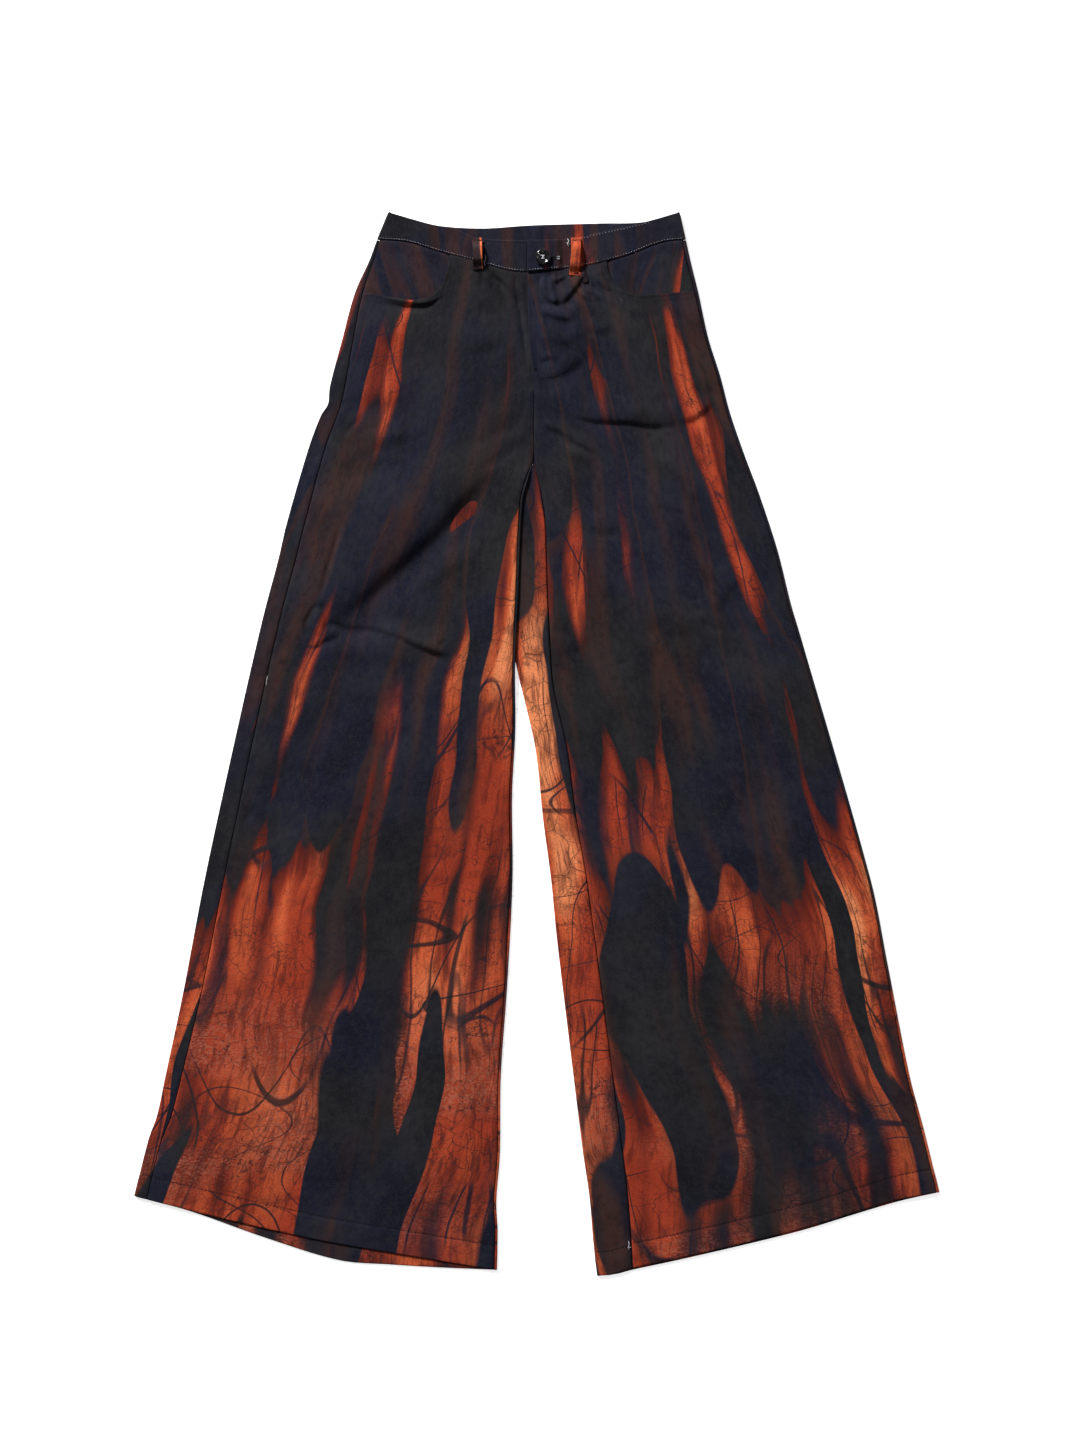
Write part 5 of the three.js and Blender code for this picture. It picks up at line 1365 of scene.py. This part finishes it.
def thread_scraps(light, dark):
    """Loop tacks, the button's thread, the buttonhole and loose fibres."""
    top = BAND_HIGH + BAND_THICK / 2
    for side_name, spec in FRONT_LOOPS.items():
        x0, d0 = (float(q) for q in band_place("front", spec["across"], 0))
        x1, d1 = (float(q) for q in band_place("front", spec["across"], 1))
        foot_top = LOOP_FOOT + LOOP["wall"]
        pieces = []
        for i, (ox, od) in enumerate(((0, 2.2), (0.3, 3.0), (-0.2, 3.7))):
            pieces.append(thread_tube(f"loop_tack_{i}", [
                (x0 - 4 + ox, d0 + od, foot_top - 0.1), (x0 + ox, d0 + od + 0.2, foot_top + 0.25), (x0 + 4.2 + ox, d0 + od, foot_top - 0.1)],
                0.26, dark, "sewing_thread"))
        low = d1 + LOOP["past_seam"] - 2.4
        for i in range(3):
            pieces.append(thread_tube(f"loop_tack_low_{i}", [
                (x1 - 4.4, low - i * 0.7, foot_top - 0.1), (x1, low - i * 0.7 + 0.1, foot_top + 0.25), (x1 + 4.4, low - i * 0.7, foot_top - 0.1)],
                0.24, dark, "sewing_thread"))
        join(f"thread_loop_{side_name}", pieces)
    # loose ends beside the loops
    ends = [
        thread_tube("end_0", [(-54, 28, top + 0.4), (-55.5, 29.5, top + 1.4), (-53.6, 31.2, top + 1.0), (-52, 30.2, top + 0.4)], 0.3, light, "sewing_thread"),
        thread_tube("end_1", [(-50.4, 44, top + 0.3), (-49.6, 48, top + 1.0), (-51.2, 52.5, top + 1.2), (-50.2, 55.5, top + 0.2)], 0.32, light, "sewing_thread"),
        thread_tube("end_2", [(34.6, 27.4, top + 0.3), (36.0, 30.4, top + 1.3), (34.4, 33.6, top + 1.2), (36.2, 36.0, top + 0.3)], 0.34, light, "sewing_thread"),
        thread_tube("end_3", [(33.6, 31.6, top + 0.3), (35.6, 32.2, top + 1.0), (37.4, 34.0, top + 0.4)], 0.26, light, "sewing_thread"),
    ]
    join("thread_ends_waist", ends)
    # the button's thread: two bars through the holes, and loose turns
    x, d, o = BUTTON["x"], BUTTON["down"], BUTTON["hole_offset"] * 0.72
    up = BUTTON["level"] + 0.6 * BUTTON["thick"]
    turns = []
    for i, (ax, ad, bx, bd) in enumerate(((-o, -o, o, -o), (-o, o, o, o), (-o, -o, o, o), (o, -o, -o, o))):
        for j in (-0.25, 0.25):
            turns.append(thread_tube(f"turn_{i}_{j > 0}", [
                (x + ax, d + ad + j, up - 0.8), (x + ax, d + ad + j, up + 0.15), (x + (ax + bx) / 2, d + (ad + bd) / 2 + j, up + 0.5 + 0.12 * i),
                (x + bx, d + bd + j, up + 0.15), (x + bx, d + bd + j, up - 0.8)], 0.22, light, "sewing_thread"))
    turns.append(thread_tube("turn_tail", [(x - 1, d - 1, up + 0.5), (x - 3.6, d - 2.4, up + 1.0), (x - 5.4, d - 4.4, up + 1.1), (x - 4.2, d - 5.6, up + 0.9)], 0.26, light, "sewing_thread"))
    join("button_thread", turns)
    # the buttonhole: close stitches on both sides of a slit, which the button's edge hides in part
    lap = top + BAND_LIFT
    hole = []
    for i in range(17):
        hx = 14.6 + i * 0.72
        for side in (-1, 1):
            hole.append(thread_tube(f"hole_{i}_{side > 0}", [
                (hx, 47.6 + side * 0.25, lap - 0.3), (hx, 47.6 + side * 0.9, lap + 0.22), (hx + 0.1, 47.6 + side * 1.7, lap - 0.12)],
                0.22, dark if i < 13 else light, "sewing_thread", sides=5, soften=1))
    light_half, dark_half = hole[26:], hole[:26]
    join("buttonhole_end", light_half)
    join("buttonhole", dark_half)
    # a white end at the left hem, and fine fibres at the right leg's inner fold
    level = float(on_front("left")(103, 1068))
    join("thread_hem_left", [
        thread_tube("hem_end_0", [(97.4, 1060.2, level + 0.1), (98.2, 1063, level + 0.9), (97.2, 1066.4, level + 0.5), (98.0, 1069, level)], 0.34, light, "sewing_thread"),
        thread_tube("hem_end_1", [(96.6, 1065.8, level + 0.1), (98.4, 1066.6, level + 0.6), (100.2, 1066.2, level + 0.1)], 0.3, light, "sewing_thread"),
    ])
    side_level = float(back_upper_level("right", -274, 483)) + CLOTH / 2
    thread_tube("thread_side_right", [(-274.4, 478, side_level + 0.2), (-275.2, 482, side_level + 0.8), (-275.6, 487.5, side_level + 0.2)],
                0.3, light, "sewing_thread")
    random = np.random.RandomState(77)
    fibres = []
    for i in range(26):
        down = random.uniform(360, 900)
        edge = float(legs["right"].inner_edge(down))
        reach, fall = random.uniform(1.5, 4.5), random.uniform(-3, 3)
        z = random.uniform(0.8, 2.0)
        fibres.append(thread_tube(f"fibre_{i}", [
            (edge - 0.6, down, z), (edge + reach * 0.5, down + fall * 0.3, z + random.uniform(-0.3, 0.5)), (edge + reach, down + fall, max(0.3, z - 0.5))],
            0.09, dark, "dark_thread", sides=4))
    join("fibres_right_leg", fibres)


# ---------------------------------------------------------------- materials


class Nodes:
    """A material with a Principled shader, and short calls that add nodes to it."""

    def __init__(self, name):
        self.material = bpy.data.materials.new(name)
        self.material.use_nodes = True
        self.tree = self.material.node_tree
        self.tree.nodes.clear()
        output = self.add("ShaderNodeOutputMaterial")
        self.shader = self.add("ShaderNodeBsdfPrincipled")
        self.tree.links.new(self.shader.outputs[0], output.inputs["Surface"])
        self.object = self.add("ShaderNodeTexCoord").outputs["Object"]

    def add(self, kind, inputs=None, **settings):
        node = self.tree.nodes.new(kind)
        for key, value in settings.items():
            setattr(node, key, value)
        for key, value in (inputs or {}).items():
            self.feed(node.inputs[key], value)
        return node

    def feed(self, socket, value):
        if isinstance(value, bpy.types.NodeSocket):
            self.tree.links.new(value, socket)
        else:
            socket.default_value = value

    def set(self, **values):
        for key, value in values.items():
            self.feed(self.shader.inputs[key.replace("_", " ")], value)

    def math(self, operation, a, b=0.0, c=0.0):
        return self.add("ShaderNodeMath", {0: a, 1: b, 2: c}, operation=operation).outputs[0]

    def span(self, value, low, high, to_low=0.0, to_high=1.0):
        """A smooth step from to_low to to_high as value goes from low to high."""
        return self.add("ShaderNodeMapRange", {0: value, 1: low, 2: high, 3: to_low, 4: to_high}, interpolation_type="SMOOTHSTEP").outputs[0]

    def stretched(self, vector, scale, move=(0, 0, 0), turn=0.0):
        return self.add("ShaderNodeMapping", {"Vector": vector, "Location": move, "Rotation": (0, 0, turn), "Scale": scale}).outputs[0]

    def noise(self, vector, scale=1.0, detail=2.0, roughness=0.5, distortion=0.0):
        return self.add("ShaderNodeTexNoise", {"Vector": vector, "Scale": scale, "Detail": detail, "Roughness": roughness, "Distortion": distortion}).outputs

    def mix(self, factor, a, b, blend="MIX"):
        node = self.add("ShaderNodeMix", data_type="RGBA", blend_type=blend)
        self.feed(node.inputs[0], factor)
        self.feed(node.inputs[6], a)
        self.feed(node.inputs[7], b)
        return node.outputs[2]

    def bump(self, height, strength, distance, below=None):
        inputs = {"Height": height, "Strength": strength, "Distance": distance}
        if below is not None:
            inputs["Normal"] = below
        return self.add("ShaderNodeBump", inputs).outputs[0]

    def ramp(self, value, stops):
        node = self.add("ShaderNodeValToRGB", {0: value})
        elements = node.color_ramp.elements
        while len(elements) > 1:
            elements.remove(elements[-1])
        for i, (position, colour) in enumerate(stops):
            stop = elements[0] if i == 0 else elements.new(position)
            stop.position = position
            stop.color = (*colour, 1)
        return node.outputs[0]


NAVY = (0.0082, 0.0102, 0.0245)
CHARCOAL = (0.0126, 0.0128, 0.0142)
MAROON = (0.070, 0.0120, 0.0098)
RUST = (0.328, 0.0420, 0.0180)
BRIGHT = (0.560, 0.105, 0.038)
ORANGE = (0.800, 0.255, 0.105)
SALMON = (0.380, 0.120, 0.075)
BROWN = (0.052, 0.0200, 0.0145)
WORN = (0.0245, 0.0230, 0.0265)
DEEP = (0.0058, 0.0058, 0.0100)
WEAVE = 2 * math.pi / 0.0009  # radians a metre for a thread every 0.9 mm


def weave_bump(nodes, vector, below=None):
    parts = nodes.add("ShaderNodeSeparateXYZ", {0: nodes.stretched(vector, (WEAVE, WEAVE, WEAVE), turn=0.06)}).outputs
    warp = nodes.math("SINE", parts[0])
    weft = nodes.math("SINE", parts[1])
    return nodes.bump(nodes.math("MULTIPLY", warp, weft), 0.30, 0.00014, below)


def bend(nodes, vector, scale, reach):
    """The vector, moved about by a slow noise, so that what is drawn with it flows."""
    drift = nodes.noise(vector, scale, 2.0)[1]
    drift = nodes.add("ShaderNodeVectorMath", {0: drift, 1: (0.5, 0.5, 0.5)}, operation="SUBTRACT").outputs[0]
    return nodes.add("ShaderNodeVectorMath", {0: drift, 1: reach, 2: vector}, operation="MULTIPLY_ADD").outputs[0]


def fan(nodes, vector, lean, spread):
    """The vector with its upright lines leaning and spreading towards the hems, as the legs do."""
    parts = nodes.add("ShaderNodeSeparateXYZ", {0: vector}).outputs
    down = nodes.math("MULTIPLY_ADD", parts[1], -1.0, 0.55)
    across = nodes.math("MULTIPLY_ADD", down, -lean, parts[0])
    across = nodes.math("DIVIDE", across, nodes.math("MULTIPLY_ADD", down, spread, 1.0))
    return nodes.add("ShaderNodeCombineXYZ", {0: across, 1: parts[1], 2: parts[2]}).outputs[0]


def printed_cloth(name, move, lean=0.0, spread=0.0, warmth=0.0):
    """Dyed cloth: columns of rust with bright cores on a navy ground, under long dark drips
    and drawn-out hairlines, with the fine cracks and grain of wax-resist dyeing. Each panel
    has its own place in the pattern, which leans and spreads as its leg does."""
    n = Nodes(name)
    base = n.stretched(fan(n, n.object, lean, spread), (1, 1, 1), move=move)
    warped = bend(n, base, 4.5, (0.035, 0.10, 0.0))
    height = n.add("ShaderNodeSeparateXYZ", {0: n.object}).outputs[1]
    low = n.span(height, 0.42, -0.52)

    # the ground, with faint brown streaks
    ground = n.mix(n.span(n.noise(n.stretched(base, (1, 0.5, 1)), 12.0, 2.0)[0], 0.40, 0.60), (*NAVY, 1), (*CHARCOAL, 1))
    faint = n.noise(n.stretched(warped, (38, 3.2, 1), move=(3.1, 0.7, 0)), 1.0, 2.0)[0]
    ground = n.mix(n.span(faint, 0.51, 0.70, 0.0, 0.90), ground, (*BROWN, 1))
    worn = n.noise(n.stretched(base, (1, 0.5, 1)), 30.0, 7.0, 0.62)[0]
    ground = n.mix(n.span(worn, 0.42, 0.72, 0.0, 0.52), ground, (*WORN, 1))
    ground = n.mix(n.span(worn, 0.54, 0.30, 0.0, 0.72), ground, (*DEEP, 1))
    nap = n.noise(n.stretched(base, (1.4, 0.6, 1)), 190.0, 3.0, 0.7)[0]
    ground = n.mix(n.span(nap, 0.46, 0.70, 0.0, 0.38), ground, (*WORN, 1))
    ground = n.mix(n.span(nap, 0.50, 0.32, 0.0, 0.42), ground, (*DEEP, 1))
    grain = n.noise(base, 900.0, 2.0, 0.6)[0]
    ground = n.mix(n.span(grain, 0.46, 0.68, 0.0, 0.42), ground, (*WORN, 1))

    # the dye: long columns, cut to rounded ends by slow patches
    column = n.noise(n.stretched(warped, (36, 1.2, 1)), 1.0, 1.6, 0.5)[0]
    patch = n.noise(n.stretched(warped, (11.0, 3.9, 1), move=(4.3, 1.9, 0)), 1.0, 1.0, 0.4)[0]
    field = n.math("MULTIPLY_ADD", column, 0.62, n.math("MULTIPLY_ADD", patch, 0.50, -0.062))
    inner = n.math("ABSOLUTE", n.add("ShaderNodeSeparateXYZ", {0: n.object}).outputs[0])
    inner = n.span(inner, 0.15, 0.02, 0.0, 0.028) if spread else 0.0
    field = n.math("ADD", field, n.math("MULTIPLY_ADD", low, 0.130, n.math("ADD", inner, -0.066 + warmth)))
    brush = n.noise(n.stretched(warped, (230, 22, 1)), 1.0, 2.5, 0.6)[0]
    field = n.math("MULTIPLY_ADD", n.math("SUBTRACT", brush, 0.5), 0.022, field)
    edge_width = n.span(n.noise(base, 6.5, 1.0)[0], 0.40, 0.58, 0.508, 0.600)
    amount = n.add("ShaderNodeMapRange", {0: field, 1: 0.500, 2: edge_width, 3: 0.0, 4: 1.0}, interpolation_type="SMOOTHSTEP").outputs[0]
    core = n.noise(n.stretched(warped, (17, 4.0, 1), move=(2.3, 8.1, 0)), 1.0, 1.5, 0.5)[0]
    glow = n.math("MULTIPLY", n.span(field, 0.525, 0.635), n.span(core, 0.40, 0.62))
    glow = n.math("MULTIPLY", glow, n.span(low, 0.66, 0.90, 1.0, 0.48))
    dye = n.mix(n.span(field, 0.500, 0.580), (*MAROON, 1), (*RUST, 1))
    dye = n.mix(n.span(glow, 0.0, 0.55), dye, (*BRIGHT, 1))
    dye = n.mix(n.span(glow, 0.45, 1.0), dye, (*ORANGE, 1))
    speck = n.noise(base, 520.0, 2.0, 0.6)[0]
    chalky = n.math("MULTIPLY", n.span(n.noise(base, 7.5, 1.0)[0], 0.47, 0.60), n.span(low, 0.70, 0.95))
    dye = n.mix(n.math("MULTIPLY", n.span(speck, 0.42, 0.62, 0.05, 0.80), chalky), dye, (*SALMON, 1))
    mottle = n.noise(n.stretched(base, (1, 0.8, 1)), 46.0, 4.0, 0.65)[0]
    dye = n.mix(n.span(mottle, 0.46, 0.72, 0.0, 0.48), dye, (*MAROON, 1))
    dye = n.mix(n.span(brush, 0.50, 0.34, 0.0, 0.55), dye, (*MAROON, 1))
    dye = n.mix(n.span(grain, 0.56, 0.36, 0.0, 0.34), dye, (*MAROON, 1))
    colour = n.mix(amount, ground, dye)

    # cracks, as fine as hairs, where the wax let the dark dye in
    wavy = bend(n, base, 70.0, (0.010, 0.012, 0.0))
    crack = 0.0
    for scale, width, deep, patch_size in ((48.0, 0.020, 0.75, 11.0), (120.0, 0.050, 0.60, 16.0)):
        cells = n.add("ShaderNodeTexVoronoi", {"Vector": n.stretched(wavy, (1, 0.7, 1)), "Scale": scale}, feature="DISTANCE_TO_EDGE").outputs[0]
        where = n.span(n.noise(base, patch_size, 2.0)[0], 0.44, 0.60)
        crack = n.math("MAXIMUM", n.math("MULTIPLY", n.span(cells, 0.0, width, deep, 0.0), where), crack)
    hair = n.noise(n.stretched(wavy, (95, 60, 1)), 1.0, 2.5, 0.6)[0]
    hair = n.math("ABSOLUTE", n.math("SUBTRACT", hair, 0.5))
    hair = n.math("MULTIPLY", n.span(hair, 0.004, 0.016, 0.75, 0.0), n.span(n.noise(base, 19.0, 2.0)[0], 0.47, 0.60))
    fibre = n.noise(n.stretched(warped, (300, 13, 1), move=(8.8, 2.6, 0)), 1.0, 1.5, 0.5)[0]
    fibre = n.span(n.math("ABSOLUTE", n.math("SUBTRACT", fibre, 0.5)), 0.006, 0.030, 0.55, 0.0)
    fibre = n.math("MULTIPLY", fibre, n.span(n.noise(n.stretched(base, (26, 7, 1)), 1.0, 1.0)[0], 0.44, 0.58))
    colour = n.mix(n.math("MAXIMUM", n.math("MAXIMUM", crack, hair), fibre), colour, (*CHARCOAL, 1))

    # long dark drips, and drawn-out hairlines, over the dye
    drip = n.noise(n.stretched(warped, (16, 1.9, 1), move=(1.7, 5.2, 0)), 1.0, 1.0, 0.45)[0]
    edge = n.math("MULTIPLY_ADD", n.math("SUBTRACT", brush, 0.5), 0.006, n.math("MULTIPLY_ADD", low, -0.024, drip))
    colour = n.mix(n.math("MULTIPLY", n.span(edge, 0.515, 0.572), 0.5), colour, (*BROWN, 1))
    colour = n.mix(n.span(edge, 0.556, 0.564), colour, ground)
    strand = n.noise(n.stretched(warped, (46, 2.6, 1), move=(7.3, 3.3, 0)), 1.0, 1.2, 0.5)[0]
    strand = n.span(n.math("ABSOLUTE", n.math("SUBTRACT", strand, 0.5)), 0.003, 0.016, 0.85, 0.0)
    strand = n.math("MULTIPLY", strand, n.span(n.noise(n.stretched(base, (9, 5, 1)), 1.0, 1.0)[0], 0.44, 0.56))
    colour = n.mix(strand, colour, ground)
    spike = n.noise(n.stretched(warped, (44, 2.1, 1), move=(6.6, 0.4, 0)), 1.0, 0.6, 0.4)[0]
    colour = n.mix(n.span(n.math("MULTIPLY_ADD", n.math("SUBTRACT", brush, 0.5), 0.010, spike), 0.588, 0.602), colour, ground)
    for size, place_of, rings, width in (
        ((7.0, 1.9, 1), (4.4, 2.2, 0), 9.0, 0.030), ((15.0, 2.6, 1), (9.2, 6.3, 0), 7.0, 0.028), ((9.0, 9.0, 1), (5.1, 3.7, 0), 6.0, 0.020),
    ):
        contour = n.noise(n.stretched(warped, size, move=place_of), 1.0, 0.0, 0.5)[0]
        line = n.math("FRACT", n.math("MULTIPLY", contour, rings))
        line = n.math("ABSOLUTE", n.math("SUBTRACT", line, 0.5))
        line = n.math("MULTIPLY", n.span(line, width * 0.4, width, 0.90, 0.0), n.span(n.noise(base, 8.0, 1.0)[0], 0.46, 0.56))
        colour = n.mix(line, colour, ground)
    n.set(Base_Color=colour)

    rough = n.span(n.noise(base, 40.0, 3.0)[0], 0.3, 0.7, 0.82, 0.92)
    n.set(Roughness=rough, Specular_IOR_Level=0.05, Sheen_Weight=0.02, Sheen_Roughness=0.35, Sheen_Tint=(0.66, 0.76, 1.0, 1))
    rumple = n.bump(n.noise(n.stretched(n.object, (1, 0.6, 1)), 150.0, 3.0, 0.6)[0], 0.35, 0.0006)
    n.set(Normal=weave_bump(n, n.object, rumple))
    return n.material


def thread_material(name, colour, shine=0.4, nap=0.3):
    n = Nodes(name)
    twist = n.noise(n.stretched(n.object, (2600, 2600, 2600)), 1.0, 2.0)[0]
    n.set(Base_Color=n.mix(n.span(twist, 0.3, 0.7), (*colour, 1), (*[c * 0.6 for c in colour], 1)))
    n.set(Roughness=n.span(twist, 0.3, 0.7, 0.5, 0.75), Specular_IOR_Level=shine, Sheen_Weight=nap)
    n.set(Normal=n.bump(twist, 0.5, 0.0001))
    return n.material


def button_material():
    n = Nodes("button_polished")
    scuff = n.noise(n.object, 900.0, 4.0, 0.6)[0]
    n.set(Base_Color=n.mix(n.span(scuff, 0.4, 0.7), (0.0035, 0.0035, 0.0042, 1), (0.010, 0.010, 0.012, 1)))
    n.set(Roughness=n.span(scuff, 0.35, 0.75, 0.10, 0.26), Specular_IOR_Level=0.6)
    n.set(Normal=n.bump(scuff, 0.08, 0.0001))
    return n.material


def floor_material():
    n = Nodes("floor_paper")
    grain = n.noise(n.object, 60.0, 3.0)[0]
    n.set(Base_Color=n.mix(grain, (0.88, 0.88, 0.88, 1), (0.92, 0.92, 0.92, 1)), Roughness=0.85)
    # a lit table, as white as the ground of a cut-out
    n.set(Emission_Color=(1, 1, 1, 1), Emission_Strength=0.7)
    return n.material


# ---------------------------------------------------------------- camera, lights, floor

VIEW_CENTRE = (3.3 * MM, 24.8 * MM)
VIEW_HEIGHT = 1.483
LENS = 85
SENSOR = 36


def make_stage():
    distance = VIEW_HEIGHT * LENS / SENSOR
    camera_data = bpy.data.cameras.new("camera")
    camera_data.lens, camera_data.sensor_width = LENS, SENSOR
    camera_data.clip_end = 20
    camera = bpy.data.objects.new("camera", camera_data)
    camera.location = (*VIEW_CENTRE, distance + 0.004)
    bpy.context.collection.objects.link(camera)
    bpy.context.scene.camera = camera

    mesh = bpy.data.meshes.new("floor")
    size = 30
    mesh.from_pydata([(-size, -size, 0), (size, -size, 0), (size, size, 0), (-size, size, 0)], [], [(0, 1, 2, 3)])
    mesh.materials.append(floor_material())
    floor = bpy.data.objects.new("floor", mesh)
    floor.location.z = -0.0003
    bpy.context.collection.objects.link(floor)

    def area_light(name, location, size, power, colour=(1, 1, 1)):
        data = bpy.data.lights.new(name, "AREA")
        data.shape, data.size, data.energy, data.color = "DISK", size, power, colour
        light = bpy.data.objects.new(name, data)
        light.location = location
        light.rotation_euler = (Vector((0, 0, 0)) - Vector(location)).to_track_quat("-Z", "Y").to_euler()
        bpy.context.collection.objects.link(light)

    area_light("key", (-3.1, 5.2, 2.9), 1.2, 980, (1.0, 0.99, 0.97))
    area_light("fill", (4.4, 1.4, 3.7), 2.5, 34, (0.93, 0.96, 1.0))
    area_light("low", (0.4, -5.2, 4.0), 2.8, 20, (0.97, 0.98, 1.0))
    world = bpy.data.worlds.new("studio")
    world.use_nodes = True
    world.node_tree.nodes["Background"].inputs[0].default_value = (1, 1, 1, 1)
    world.node_tree.nodes["Background"].inputs[1].default_value = 0.10
    bpy.context.scene.world = world
    bpy.context.scene.view_settings.view_transform = "Standard"


# ---------------------------------------------------------------- assembly


def main():
    make_stage()
    light, dark = thread_material("thread_light", (0.50, 0.50, 0.54)), thread_material("thread_dark", (0.0085, 0.0085, 0.012), 0.1, 0.0)
    front_panel("right", printed_cloth("print_front_right", (2.61, 0.92, 0), -0.17, 0.95))
    front_panel("left", printed_cloth("print_front_left", (5.37, 1.35, 0), 0.17, 0.95))
    back_panel("right", printed_cloth("print_back_right", (3.21, 1.34, 0), -0.17, 0.95))
    back_panel("left", printed_cloth("print_back_left", (4.73, 2.06, 0), 0.17, 0.95))
    pocket_facing("right", printed_cloth("print_facing_right", (6.11, 0.42, 0), 0.3, 0, 0.045))
    pocket_facing("left", printed_cloth("print_facing_left", (7.39, 0.95, 0), -0.2, 0, 0.02))
    waistband(printed_cloth("print_waistband", (8.83, 1.71, 0), 0, 0, -0.02))
    front_loop("right", printed_cloth("print_loop_right", (8.4, 2.6, 0), 0, 0, 0.05))
    front_loop("left", printed_cloth("print_loop_left", (10.9, 0.2, 0), 0, 0, 0.11))
    loop_cloth = printed_cloth("print_loop_back", (11.4, 1.1, 0), 0, 0, 0.05)
    for where, across in zip(("right", "centre", "left"), LOOP_PLACES):
        back_loop(where, across, loop_cloth)
    make_button(button_material())
    sew(light, dark)
    thread_scraps(light, dark)


main()
